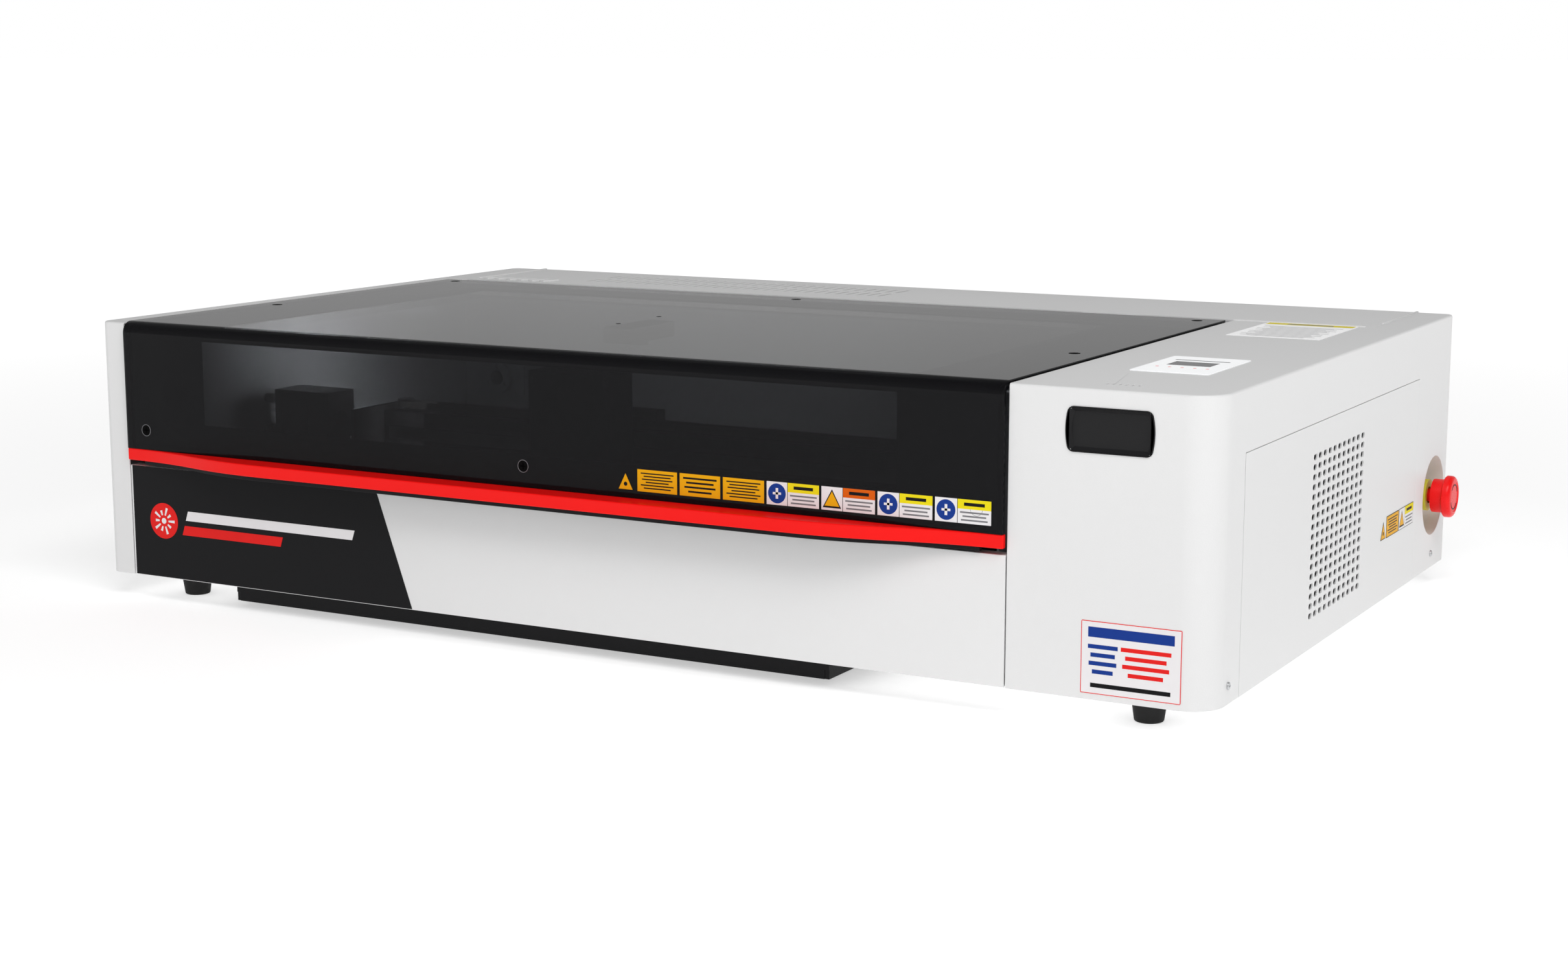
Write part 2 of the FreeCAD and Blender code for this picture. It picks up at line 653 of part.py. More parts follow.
def hinge_pins():
    pins = []
    for x in HINGE_XS:
        shaft = rod(HINGE_PIN_R, 63.5, (x - 31.5, HINGE_Y, HINGE_Z), X_AXIS)
        heads = [rod(3.2, 1.5, (x0, HINGE_Y, HINGE_Z), X_AXIS) for x0 in (x - 33, x + 31.5)]
        pins.append(fuse([shaft] + heads))
    return pins


# ---- front door and tray ------------------------------------------------------------------
DOOR_X0 = OPEN_X0 + 1.2
DOOR_X1 = OPEN_X1 - 1.2
DOOR_Z0 = BODY_Z0 + 0.4
DOOR_Z1 = BODY_Z0 + DOOR_H
NOTCH_W = 15.0
NOTCH_H = 6.8


def front_door():
    """Folded panel: face, top fold and side folds with pivot holes, notched at the low corners."""
    face = block(DOOR_X0, DOOR_X1, 0, SHEET, DOOR_Z0, DOOR_Z1)
    top = block(DOOR_X0, DOOR_X1, 0, DOOR_DEPTH, DOOR_Z1 - SHEET, DOOR_Z1)
    sides = []
    for x in (DOOR_X0, DOOR_X1 - SHEET):
        sides.append(block(x, x + SHEET, 0, DOOR_DEPTH, DOOR_Z0 + 0.5, DOOR_Z1))
    body = fuse([face, top] + sides)
    tools = []
    for x, inward in ((DOOR_X0, 1), (DOOR_X1, -1)):
        x0, x1 = sorted((x + inward * SHEET, x + inward * NOTCH_W))
        tools.append(block(x0, x1, -1, SHEET, 0, DOOR_Z0 + NOTCH_H))
        x0, x1 = sorted((x + inward * 4, x + inward * 18))
        tools.append(block(x0, x1, -1, SHEET, DOOR_Z1 - 4.2, DOOR_Z1 - 2.8))
        tools.append(rod(DOOR_PIN_R + 0.05, 8, (x - 4, DOOR_PIVOT_Y, DOOR_PIVOT_Z), X_AXIS))
    return cut(body, tools)


def front_door_accent():
    """Thin black field on the door's left part, with a slanted right edge."""
    y = -0.3
    points = [
        Vector(DOOR_X0 + 2.2, y, DOOR_Z0 + 0.6),
        Vector(-193.0, y, DOOR_Z0 + 0.6),
        Vector(-230.0, y, DOOR_Z1 - 0.2),
        Vector(DOOR_X0 + 2.2, y, DOOR_Z1 - 0.2),
    ]
    plate = Part.Face(Part.makePolygon(points + [points[0]])).extrude(Vector(0, 0.3, 0))
    slot = block(DOOR_X0 + 4, DOOR_X0 + 18, -1, 1, DOOR_Z1 - 4.2, DOOR_Z1 - 2.8)
    notch = block(DOOR_X0, DOOR_X0 + NOTCH_W, -1, 1, 0, DOOR_Z0 + NOTCH_H)
    return cut(plate, [slot, notch])


def door_pivots():
    """Two lugs on the floor with pivot pins through the door's side folds."""
    lugs = []
    for x, inward in ((DOOR_X0, 1), (DOOR_X1, -1)):
        near = x + inward * (SHEET + 0.8)
        far = x + inward * (SHEET + 7.8)
        x0, x1 = sorted((near, far))
        nose = rod(4.4, x1 - x0, (x0, DOOR_PIVOT_Y, DOOR_PIVOT_Z), X_AXIS)
        arm = block(x0, x1, DOOR_PIVOT_Y, 24, DOOR_PIVOT_Z - 2.2, DOOR_PIVOT_Z + 4.4)
        post = block(x0, x1, 16.2, 24, BODY_Z0 + SHEET, DOOR_PIVOT_Z + 4.4)
        x2, x3 = sorted((x + inward * 0.0, near))
        pin = rod(DOOR_PIN_R, x3 - x2, (x2, DOOR_PIVOT_Y, DOOR_PIVOT_Z), X_AXIS)
        lugs.append(fuse([nose, arm, post, pin]))
    return lugs


def crumb_tray():
    """Open drawer with side flanges and long slots in its sides."""
    outer = block(TRAY_X0, TRAY_X1, TRAY_Y0, TRAY_Y1, TRAY_Z0, TRAY_Z1)
    inner = block(TRAY_X0 + TRAY_T, TRAY_X1 - TRAY_T, TRAY_Y0 + TRAY_T, TRAY_Y1 - TRAY_T,
                  TRAY_Z0 + TRAY_T, TRAY_Z1 + 1)
    flanges = [
        block(TRAY_X0 - 7, TRAY_X0 + 1, TRAY_Y0 + 14, TRAY_Y1, TRAY_Z1 - TRAY_T, TRAY_Z1),
        block(TRAY_X1 - 1, TRAY_X1 + 7, TRAY_Y0 + 14, TRAY_Y1, TRAY_Z1 - TRAY_T, TRAY_Z1),
    ]
    body = fuse([outer.cut(inner)] + flanges)
    slots = []
    for x in (TRAY_X0 - 2, TRAY_X1 - 4):
        for index in range(4):
            centre = Vector(x, TRAY_Y0 + 48 + 110 * index, TRAY_Z0 + 8.2)
            slots.append(obround(44, 6, 6, centre, Y_AXIS, X_AXIS))
        slots.append(block(x, x + 6, TRAY_Y0 - 1, TRAY_Y0 + 0.8, TRAY_Z0 - 1, TRAY_Z0 + 8))
    return cut(body, slots)


def tray_rails():
    """Two folded rails under the floor which carry the tray's flanges."""
    rails = []
    for edge, out in ((TRAY_X1, 1), (TRAY_X0, -1)):
        spans = ((7.4, 8.9, 17.3, 23.0), (1.5, 8.9, 17.3, 18.5), (7.4, 16.0, 21.5, 23.0))
        pieces = []
        for near, far, z0, z1 in spans:
            x0, x1 = sorted((edge + out * near, edge + out * far))
            pieces.append(block(x0, x1, TRAY_Y0 + 12, TRAY_Y1 + 6, z0, z1))
        rails.append(fuse(pieces))
    return rails


# ---- motion system ------------------------------------------------------------------------
RAIL_Y0 = 40.0
RAIL_Y1 = 505.0
RAIL_TOP = 126.0


def y_rails():
    left = block(WALL_L, WALL_L + 14, RAIL_Y0, RAIL_Y1, RAIL_TOP - 8, RAIL_TOP)
    right = block(WALL_R - 14, WALL_R, RAIL_Y0, RAIL_Y1, RAIL_TOP - 8, RAIL_TOP)
    grooves = []
    for x0 in (WALL_L + 14 - 1.2, WALL_R - 14 - 1):
        grooves.append(block(x0, x0 + 2.2, RAIL_Y0 - 1, RAIL_Y1 + 1, RAIL_TOP - 5, RAIL_TOP - 2.5))
    return [cut(left, grooves), cut(right, grooves)]


BELT_XS = (-484.0, 344.0)
BELT_W = 6.0
BELT_T = 1.4
IDLER_Y = 52.0


def belt_loop(y0, y1, z, x0):
    """Closed belt around two equal pulleys at y0 and y1."""
    outer_r = PULLEY_R + BELT_T

    def stadium(radius):
        ends = [rod(radius, BELT_W, (x0, y, z), X_AXIS) for y in (y0, y1)]
        return fuse(ends + [block(x0, x0 + BELT_W, y0, y1, z - radius, z + radius)])

    return stadium(outer_r).cut(stadium(PULLEY_R + 0.05))


def y_belts():
    return [belt_loop(IDLER_Y, SHAFT_Y, SHAFT_Z, x - BELT_W / 2) for x in BELT_XS]


def y_idlers():
    """Front idler blocks fixed to the side walls, one for each belt."""
    idlers = []
    for x, wall in zip(BELT_XS, (WALL_L, WALL_R)):
        x0, x1 = sorted((wall, x))
        wheel = rod(PULLEY_R - 0.05, BELT_W + 1, (x - BELT_W / 2 - 0.5, IDLER_Y, SHAFT_Z), X_AXIS)
        axle = rod(3, x1 - x0, (x0, IDLER_Y, SHAFT_Z), X_AXIS)
        idlers.append(fuse([wheel, axle]))
    return idlers


def y_drive_shaft():
    shaft = rod(4, 860, (-494, SHAFT_Y, SHAFT_Z), X_AXIS)
    shaft = shaft.fuse(rod(4, 18, (365, SHAFT_Y, SHAFT_Z), X_AXIS))
    pulleys = []
    for x in BELT_XS:
        pulleys.append(rod(PULLEY_R - 0.3, BELT_W + 1, (x - BELT_W / 2 - 0.5, SHAFT_Y, SHAFT_Z), X_AXIS))
        for x0 in (x - BELT_W / 2 - 2, x + BELT_W / 2 + 0.5):
            pulleys.append(rod(PULLEY_R + 2, 1.5, (x0, SHAFT_Y, SHAFT_Z), X_AXIS))
    return fuse([shaft] + pulleys)


BEARING_XS = (-466.0, 318.0)


def y_bearings():
    """Two pillow blocks on the bulkhead which carry the drive shaft."""
    blocks = []
    for x in BEARING_XS:
        body = block(x, x + 12, SHAFT_Y - 9, BULKHEAD_Y, SHAFT_Z - 10, SHAFT_Z + 10)
        blocks.append(body.cut(rod(4.05, 20, (x - 4, SHAFT_Y, SHAFT_Z), X_AXIS)))
    return blocks


def motor(size, length, base, axis, side, shaft_l, shaft_r):
    """Square stepping motor with chamfered corners, a pilot boss and a shaft."""
    other = axis.cross(side)
    corner = Vector(*base) - side * (size / 2) - other * (size / 2)
    points = [corner, corner + side * size, corner + side * size + other * size, corner + other * size]
    body = Part.Face(Part.makePolygon(points + [corner])).extrude(axis * -length)
    body = body.makeFillet(4, [e for e in body.Edges if abs(e.Length - length) < 1e-6])
    boss = rod(11, 1.5, base, axis)
    shaft = rod(shaft_r, shaft_l, base, axis)
    return fuse([body, boss, shaft])


def y_motor():
    return motor(42, 40, (386.5, SHAFT_Y, SHAFT_Z), X_AXIS * -1, Z_AXIS, 3.2, 2.5)


def gantry_beam():
    """Aluminium extrusion with grooves, and a shelf behind it for the cable chain."""
    beam = block(BEAM_X0, BEAM_X1, BEAM_Y0, BEAM_Y1, BEAM_BOTTOM, BEAM_TOP)
    grooves = []
    mid_y = (BEAM_Y0 + BEAM_Y1) / 2
    length = BEAM_X1 - BEAM_X0 + 2
    for z in (BEAM_BOTTOM, BEAM_TOP):
        grooves.append(block(BEAM_X0 - 1, BEAM_X0 - 1 + length, mid_y - 3, mid_y + 3, z - 5, z + 5))
    for z in (BEAM_BOTTOM + 10, BEAM_TOP - 10):
        grooves.append(block(BEAM_X0 - 1, BEAM_X0 - 1 + length, BEAM_Y1 - 5, BEAM_Y1 + 1, z - 3, z + 3))
    return cut(beam, grooves)


def gantry_plates():
    """End plates with sliding shoes on the Y rails; the left one carries the mirror mount."""
    left = [
        block(WALL_L + 2.5, BEAM_X0 - 0.2, 150, 222, 130, 136),
        block(BEAM_X0 - 4.2, BEAM_X0 - 0.2, 150, 222, 120, 172),
        block(WALL_L + 2.5, WALL_L + 14, 155, 217, RAIL_TOP + 0.3, 130),
        block(BELT_XS[0] - 5, BELT_XS[0] + 5, 170, 200, SHAFT_Z + PULLEY_R + BELT_T + 0.3, 130),
    ]
    right = [
        block(BEAM_X1 + 0.2, WALL_R - 2.5, 150, 222, 130, 136),
        block(BEAM_X1 + 0.2, BEAM_X1 + 4.2, 150, 222, 120, 172),
        block(WALL_R - 14, WALL_R - 2.5, 155, 217, RAIL_TOP + 0.3, 130),
        block(BELT_XS[1] - 5, BELT_XS[1] + 5, 170, 200, SHAFT_Z + PULLEY_R + BELT_T + 0.3, 130),
    ]
    return [fuse(left), fuse(right)]


def x_rail():
    rail = block(-362, 326, BEAM_Y0 - 6, BEAM_Y0, 140, 152)
    grooves = [block(-363, 327, BEAM_Y0 - 4, BEAM_Y0 - 2, z - 1, z + 1) for z in (140, 152)]
    return cut(rail, grooves)


X_PULLEY_R = 6.0
X_BELT_Z = 170.0
X_PULLEY_XS = (-352.0, 311.0)
X_PULLEY_Y = (BEAM_Y0 + BEAM_Y1) / 2


def x_belt():
    outer_r = X_PULLEY_R + BELT_T

    def stadium(radius):
        ends = [rod(radius, BELT_W, (x, X_PULLEY_Y, X_BELT_Z), Z_AXIS) for x in X_PULLEY_XS]
        x0, x1 = X_PULLEY_XS
        run = block(x0, x1, X_PULLEY_Y - radius, X_PULLEY_Y + radius, X_BELT_Z, X_BELT_Z + BELT_W)
        return fuse(ends + [run])

    return stadium(outer_r).cut(stadium(X_PULLEY_R + 0.05))


def x_idler():
    wheel = rod(X_PULLEY_R - 0.05, BELT_W + 1, (X_PULLEY_XS[0], X_PULLEY_Y, X_BELT_Z - 0.5), Z_AXIS)
    spindle = rod(2.9, X_BELT_Z - 0.5 - BEAM_TOP + 5, (X_PULLEY_XS[0], X_PULLEY_Y, BEAM_TOP - 5), Z_AXIS)
    cap = rod(X_PULLEY_R + 2, 1.5, (X_PULLEY_XS[0], X_PULLEY_Y, X_BELT_Z + BELT_W + 0.5), Z_AXIS)
    return fuse([wheel, spindle, cap])


def x_motor():
    """X motor above the beam's right end on a folded bracket, shaft down to its pulley."""
    x = X_PULLEY_XS[1]
    body = motor(42, 38, (x, X_PULLEY_Y, 182), Z_AXIS * -1, X_AXIS, 13, 2.5)
    bracket = block(x - 21, x + 20.8, BEAM_Y1, BEAM_Y1 + 3, BEAM_BOTTOM + 20, 182)
    return fuse([body, bracket])


def x_drive_pulley():
    x = X_PULLEY_XS[1]
    wheel = rod(X_PULLEY_R - 0.3, BELT_W + 1, (x, X_PULLEY_Y, X_BELT_Z - 0.5), Z_AXIS)
    rims = [rod(X_PULLEY_R + 2, 1.4, (x, X_PULLEY_Y, z), Z_AXIS) for z in (X_BELT_Z - 1.9, X_BELT_Z + 6.5)]
    hub = rod(5, 1.6, (x, X_PULLEY_Y, X_BELT_Z + 7.9), Z_AXIS)
    return fuse([wheel, hub] + rims).cut(rod(2.55, 30, (x, X_PULLEY_Y, 160), Z_AXIS))


def mirror_mount_2():
    """Second mirror on the gantry's left end, with its three spring-loaded adjusting screws."""
    x0 = -470.0
    x1 = -404.0
    z0 = 136.0
    base = block(x0 + 6, x1 - 6, 150, 190, z0, z0 + 4)
    post = block(x1 - 26, x1, 150, 190, z0 + 4, 186)
    plate = block(x0, x0 + 8, 150, 190, z0 + 4, 186)
    roof = block(x0, x1, 150, 190, 182, 186)
    body = fuse([base, post, plate, roof])
    bores = [rod(9, 40, (x1 - 30, PATH_Y, BEAM_Z), X_AXIS)]
    body = cut(body, bores)
    screws = []
    for y, z in ((157.0, 146.0), (183.0, 146.0), (157.0, 176.0)):
        knob = rod(4.5, 9, (x0 - 16, y, z), X_AXIS)
        shank = rod(2, 8, (x0 - 8, y, z), X_AXIS)
        screws.append(fuse([knob, shank]))
    return [body] + screws


def cable_chain():
    """C-shaped loop of the cable chain from the head's top down to a short run on the beam."""
    y0 = 218.0
    y1 = 234.0
    z_low = 172.0
    z_high = 226.0
    r_out = (z_high - z_low) / 2
    r_in = r_out - 11
    x_loop = HEAD_X - HEAD_HALF + 6
    mid = (z_high + z_low) / 2
    ring = tube(r_out, r_in, y1 - y0, (x_loop, y0, mid), Y_AXIS)
    ring = ring.common(block(x_loop - 60, x_loop, y0, y1, z_low, z_high))
    low = block(x_loop, x_loop + 90, y0, y1, z_low, z_low + 11)
    high = block(x_loop, x_loop + 42, y0, y1, z_high - 11, z_high)
    return fuse([ring, low, high])


def chain_shelf():
    """Angle behind the beam on which the chain's lower run slides."""
    flat = block(-350, 280, BEAM_Y1, 236, 168.5, 170)
    web = block(-350, 280, BEAM_Y1, BEAM_Y1 + 1.5, 150, 170)
    return fuse([flat, web])


def head_carriage():
    """Carriage plate on the X rail, with the chain arm and the belt clamp at its top."""
    x0 = HEAD_X - 40
    x1 = HEAD_X + 40
    plate = block(x0, x1, 186, 189.7, 112, 214)
    shoes = [block(x0, x1, 186, 195.6, 152.3, 160), block(x0, x1, 186, 195.6, 132, 139.7)]
    clamp = block(HEAD_X - 12, HEAD_X + 12, 186, 197.9, 170.5, 175.5)
    arm = block(HEAD_X - 30, HEAD_X + 4, 186, 236, 212.6, 214.8)
    return fuse([plate, clamp, arm] + shoes)


def head_cover():
    """Box-shaped cover, open behind and below, with the beam's entry hole at the left."""
    x0 = HEAD_X - HEAD_HALF
    x1 = HEAD_X + HEAD_HALF
    outer = block(x0, x1, 148, 185.7, 122, HEAD_TOP)
    outer = rounded(outer, 3, Z_AXIS, lambda p: p.y < 150)
    inner = block(x0 + 2, x1 - 2, 150, 190, 120, HEAD_TOP - 2)
    entry = rod(8, 10, (x0 - 4, PATH_Y, BEAM_Z), X_AXIS)
    return outer.cut(inner).cut(entry)


def head_mirror():
    """Third mirror at 45 degrees over the lens, on a wedge held by the carriage."""
    points = [Vector(-14, 0, -14), Vector(14, 0, 14), Vector(14, 0, 20), Vector(-14, 0, 20)]
    wedge = Part.Face(Part.makePolygon(points + [points[0]])).extrude(Vector(0, 22, 0))
    wedge.translate(Vector(HEAD_X, PATH_Y - 11, BEAM_Z + 4))
    stem = block(HEAD_X - 10, HEAD_X + 10, PATH_Y + 11, 186, BEAM_Z + 14, BEAM_Z + 24)
    return fuse([wedge, stem])


LENS_TOP = 138.0
NOZZLE_TIP = 74.0


def lens_tube():
    """Focusing tube with a knurled collar and a tapered nozzle, bored for the beam."""
    y = PATH_Y
    barrel = rod(10.5, LENS_TOP - 92, (HEAD_X, y, 92), Z_AXIS)
    collar = rod(13, 8, (HEAD_X, y, 96), Z_AXIS)
    cone = Part.makeCone(3.5, 9.5, 92 - NOZZLE_TIP, Vector(HEAD_X, y, NOZZLE_TIP), Z_AXIS)
    bore = rod(8.5, LENS_TOP - 96 + 1, (HEAD_X, y, 96), Z_AXIS)
    hole = rod(1.5, 40, (HEAD_X, y, NOZZLE_TIP - 1), Z_AXIS)
    return fuse([barrel, collar, cone]).cut(bore).cut(hole)


def lens_holder():
    """Clamp ring on the carriage in which the focusing tube slides."""
    ring = rod(15, 10, (HEAD_X, PATH_Y, 114), Z_AXIS)
    stem = block(HEAD_X - 12, HEAD_X + 12, PATH_Y + 8, 186, 114, 124)
    return fuse([ring, stem]).cut(rod(10.55, 20, (HEAD_X, PATH_Y, 110), Z_AXIS))


# ---- rear bay and electronics -------------------------------------------------------------
INLET_X = -440.0
INLET_Z = 70.0
FAN_Y0 = CASE_D - SHEET - 25.4
FAN_Y1 = CASE_D - SHEET - 0.2
ROTOR_R = 42.0


def laser_tube():
    """Glass jacket and inner bore tube between two metal end caps with electrode stubs."""
    x0 = -365.0
    x1 = 395.0
    cap = 12.0
    stub = 33.0
    jacket = tube(TUBE_R, TUBE_R - 2.4, x1 - x0, (x0, TUBE_Y, BEAM_Z), X_AXIS)
    bore = tube(9, 7.5, x1 - x0, (x0, TUBE_Y, BEAM_Z), X_AXIS)
    pieces = [jacket, bore]
    for x_face, out in ((x0, -1), (x1, 1)):
        low = min(x_face, x_face + out * cap)
        disc = rod(TUBE_R, cap, (low, TUBE_Y, BEAM_Z), X_AXIS)
        low = min(x_face + out * cap, x_face + out * (cap + stub))
        pieces.append(fuse([disc, rod(11, stub, (low, TUBE_Y, BEAM_Z), X_AXIS)]))
    return pieces


def tube_clamps():
    """Two split saddles on legs which hold the tube."""
    clamps = []
    for x in (-260.0, 215.0):
        ring = tube(TUBE_R + 6, TUBE_R + 0.05, 22, (x, TUBE_Y, BEAM_Z), X_AXIS)
        leg = block(x, x + 22, TUBE_Y - 20, TUBE_Y + 20, BODY_Z0 + SHEET, BEAM_Z)
        leg = leg.cut(rod(TUBE_R + 3, 40, (x - 9, TUBE_Y, BEAM_Z), X_AXIS))
        clamps.append(fuse([ring, leg]))
    return clamps


def mirror_mount_1():
    """First mirror behind the tube's end: a 45-degree wedge on a post."""
    points = [Vector(-18, -18, 0), Vector(18, 18, 0), Vector(-18, 18, 0)]
    wedge = Part.Face(Part.makePolygon(points + [points[0]])).extrude(Vector(0, 0, 44))
    wedge.translate(Vector(PORT_X, TUBE_Y, BEAM_Z - 22))
    post = block(PORT_X - 18, PORT_X + 2, TUBE_Y + 2, TUBE_Y + 18, BODY_Z0 + SHEET, BEAM_Z - 22)
    return fuse([wedge, post])


def exhaust_duct():
    """Square duct of four plates from the chamber's vent to the fan."""
    y0 = BULKHEAD_Y + SHEET
    y1 = FAN_Y0 - 0.2
    wall = 1.2
    x0 = DUCT_X - DUCT_HALF
    x1 = DUCT_X + DUCT_HALF
    z0 = DUCT_Z - DUCT_HALF
    z1 = DUCT_Z + DUCT_HALF
    return [
        block(x0, x1, y0, y1, z0, z0 + wall),
        block(x0, x1, y0, y1, z1 - wall, z1),
        block(x0, x0 + wall, y0, y1, z0 + wall, z1 - wall),
        block(x1 - wall, x1, y0, y1, z0 + wall, z1 - wall),
    ]


def exhaust_fan_frame():
    """Square fan frame with a round tunnel and three struts that hold the hub."""
    frame = block(DUCT_X - 46, DUCT_X + 46, FAN_Y0, FAN_Y1, DUCT_Z - 46, DUCT_Z + 46)
    frame = rounded(frame, 5, Y_AXIS)
    frame = frame.cut(rod(ROTOR_R + 1.5, 40, (DUCT_X, FAN_Y0 - 5, DUCT_Z), Y_AXIS))
    hub = rod(16, 3, (DUCT_X, FAN_Y1 - 3, DUCT_Z), Y_AXIS)
    axle = rod(1.5, 8, (DUCT_X, FAN_Y1 - 11, DUCT_Z), Y_AXIS)
    struts = []
    for turn in (90, 210, 330):
        strut = block(-2, 2, FAN_Y1 - 3, FAN_Y1, 10, ROTOR_R + 3)
        strut.rotate(Vector(0, 0, 0), Y_AXIS, turn)
        strut.translate(Vector(DUCT_X, 0, DUCT_Z))
        struts.append(strut)
    return fuse([frame, hub, axle] + struts)


def exhaust_rotor():
    """Seven-bladed rotor on a round hub."""
    depth = FAN_Y1 - FAN_Y0 - 6
    y0 = FAN_Y0 + 2
    hub = rod(17, depth, (DUCT_X, y0, DUCT_Z), Y_AXIS)
    blades = []
    for index in range(7):
        blade = block(-9, 9, -1, 1, 15, ROTOR_R)
        blade.rotate(Vector(0, 0, 0), Z_AXIS, 38)
        blade.translate(Vector(0, y0 + depth / 2, 0))
        blade.rotate(Vector(0, 0, 0), Y_AXIS, index * 360.0 / 7)
        blade.translate(Vector(DUCT_X, 0, DUCT_Z))
        blades.append(blade)
    span = rod(ROTOR_R, depth, (DUCT_X, y0, DUCT_Z), Y_AXIS)
    rotor = fuse([hub] + blades).common(span)
    return rotor.cut(rod(1.55, 20, (DUCT_X, FAN_Y1 - 12, DUCT_Z), Y_AXIS))


def exhaust_outlet():
    """Flanged spigot outside the rear panel for the exhaust hose."""
    flange = block(DUCT_X - 56, DUCT_X + 56, CASE_D, CASE_D + 2, DUCT_Z - 53, DUCT_Z + 53)
    flange = rounded(flange, 8, Y_AXIS)
    pipe = rod(SPIGOT_R, SPIGOT_L, (DUCT_X, CASE_D, DUCT_Z), Y_AXIS)
    body = fuse([flange, pipe])
    return body.cut(rod(SPIGOT_R - 2, SPIGOT_L + 10, (DUCT_X, CASE_D - 5, DUCT_Z), Y_AXIS))


def radiator():
    core = block(-340, -60, 548, 660, 205, 236)
    tanks = [block(-350, -340, 548, 660, 205, 236), block(-60, -50, 548, 660, 205, 236)]
    legs = [block(x, x + 8, 650, 660, BODY_Z0 + SHEET, 205) for x in (-345, -63)]
    return fuse([core] + tanks + legs)


def coolant_tank():
    tank = rounded(block(250, 420, 535, 640, BODY_Z0 + SHEET, 118), 10, Z_AXIS)
    cap = rod(16, 8, (395, 556, 118), Z_AXIS)
    return fuse([tank, cap])


def boxed_unit(x0, x1, y0, y1, z0, z1):
    """Folded steel cover, open below, over a board and its components."""
    outer = rounded(block(x0, x1, y0, y1, z0, z1), 2, Z_AXIS)
    return outer.cut(block(x0 + 1.2, x1 - 1.2, y0 + 1.2, y1 - 1.2, z0 - 1, z1 - 1.2))


def power_supply():
    return boxed_unit(400, 510, 60, 275, BODY_Z0 + SHEET, 76)


def laser_supply():
    return boxed_unit(400, 500, 300, 450, BODY_Z0 + SHEET, 118)


def control_board():
    board = block(387, 388.6, 240, 420, 130, 230)
    parts = [block(388.6, 396, 256, 286, 150, 180), block(388.6, 400, 300, 350, 206, 226)]
    parts += [block(388.6, 394, 360, 400, 140 + 20 * i, 152 + 20 * i) for i in range(4)]
    stands = [rod(3, 387 - WALL_R - SHEET, (WALL_R + SHEET, y, z), X_AXIS)
              for y in (246, 414) for z in (136, 224)]
    return fuse([board] + parts + stands)


def power_inlet():
    """Mains inlet with a D-shaped socket, and a window above it for the rocker."""
    flange = block(INLET_X - 20, INLET_X + 20, CASE_D, CASE_D + 2.5, INLET_Z - 24, INLET_Z + 27)
    flange = rounded(flange, 3, Y_AXIS)
    body = block(INLET_X - 13.5, INLET_X + 13.5, CASE_D - 24, CASE_D + 1, INLET_Z - 20.5, INLET_Z + 23.5)
    shape = fuse([flange, body])
    socket = block(INLET_X - 11.3, INLET_X + 11.3, CASE_D - 16, CASE_D + 5, INLET_Z - 17, INLET_Z - 1)
    socket = socket.makeChamfer(3.5, edges_along(socket, Y_AXIS, lambda p: p.z > INLET_Z - 5))
    window = block(INLET_X - 9.3, INLET_X + 9.3, CASE_D - 12, CASE_D + 5, INLET_Z + 3.5, INLET_Z + 20.5)
    pivot = rod(1.0, 18.6, (INLET_X - 9.3, CASE_D - 4, INLET_Z + 12), X_AXIS)
    return fuse([cut(shape, [socket, window]), pivot])


def power_rocker():
    """Rocker with a shallow V face, free to tip on its pivot."""
    half_z = 6.0
    y_tip = CASE_D + 3.4
    y_mid = CASE_D + 1.2
    mid = INLET_Z + 12
    points = [
        Vector(0, CASE_D - 6, mid - half_z + 1.6),
        Vector(0, y_mid + 0.2, mid - half_z),
        Vector(0, y_mid, mid),
        Vector(0, y_tip, mid + half_z - 0.5),
        Vector(0, CASE_D - 6, mid + half_z - 1.6),
    ]
    face = Part.Face(Part.makePolygon(points + [points[0]]))
    body = face.extrude(Vector(17.4, 0, 0))
    body.translate(Vector(INLET_X - 8.7, 0, 0))
    return body.cut(rod(1.05, 30, (INLET_X - 15, CASE_D - 4, mid), X_AXIS))


# ---- controls -----------------------------------------------------------------------------
def screen_block(inset, z0, z1):
    return block(SCREEN_X0 + inset, SCREEN_X1 - inset, SCREEN_Y0 + inset, SCREEN_Y1 - inset, z0, z1)


def screen_housing():
    """Touch panel's display unit, hung in the top sheet's cut-out."""
    return screen_block(SCREEN_FLANGE + 0.3, BODY_Z1 - 14, BODY_Z1)


def screen_glass():
    """Cover glass on the top sheet, over the cut-out and the display unit."""
    return rounded(screen_block(0, BODY_Z1, BODY_Z1 + 0.8), 1.5, Z_AXIS)


def front_insert():
    """Moulded oblong cap snapped into the housing: sloped rim down to a flat floor."""
    rim = insert_prism(0, -0.8, 0, 5.5)
    plug = insert_prism(1.2, 0, SHEET + 2.5, 4.6)
    top = insert_outline(1.0, -0.81)
    low = insert_outline(4.0, 2.2)
    recess = Part.makeLoft([top, low], True)
    return fuse([rim, plug]).cut(recess)


def estop_cup():
    """Round pocket behind the side sheet, with a flat floor that carries the switch."""
    x0 = HALF_W - SHEET - CUP_DEPTH
    wall = tube(CUP_R + 1.5, CUP_R, CUP_DEPTH, (x0, ESTOP_Y, ESTOP_Z), X_AXIS)
    floor = rod(CUP_R + 1.5, 1.5, (x0 - 1.5, ESTOP_Y, ESTOP_Z), X_AXIS)
    return fuse([wall, floor]).cut(rod(11.2, 10, (x0 - 5, ESTOP_Y, ESTOP_Z), X_AXIS))


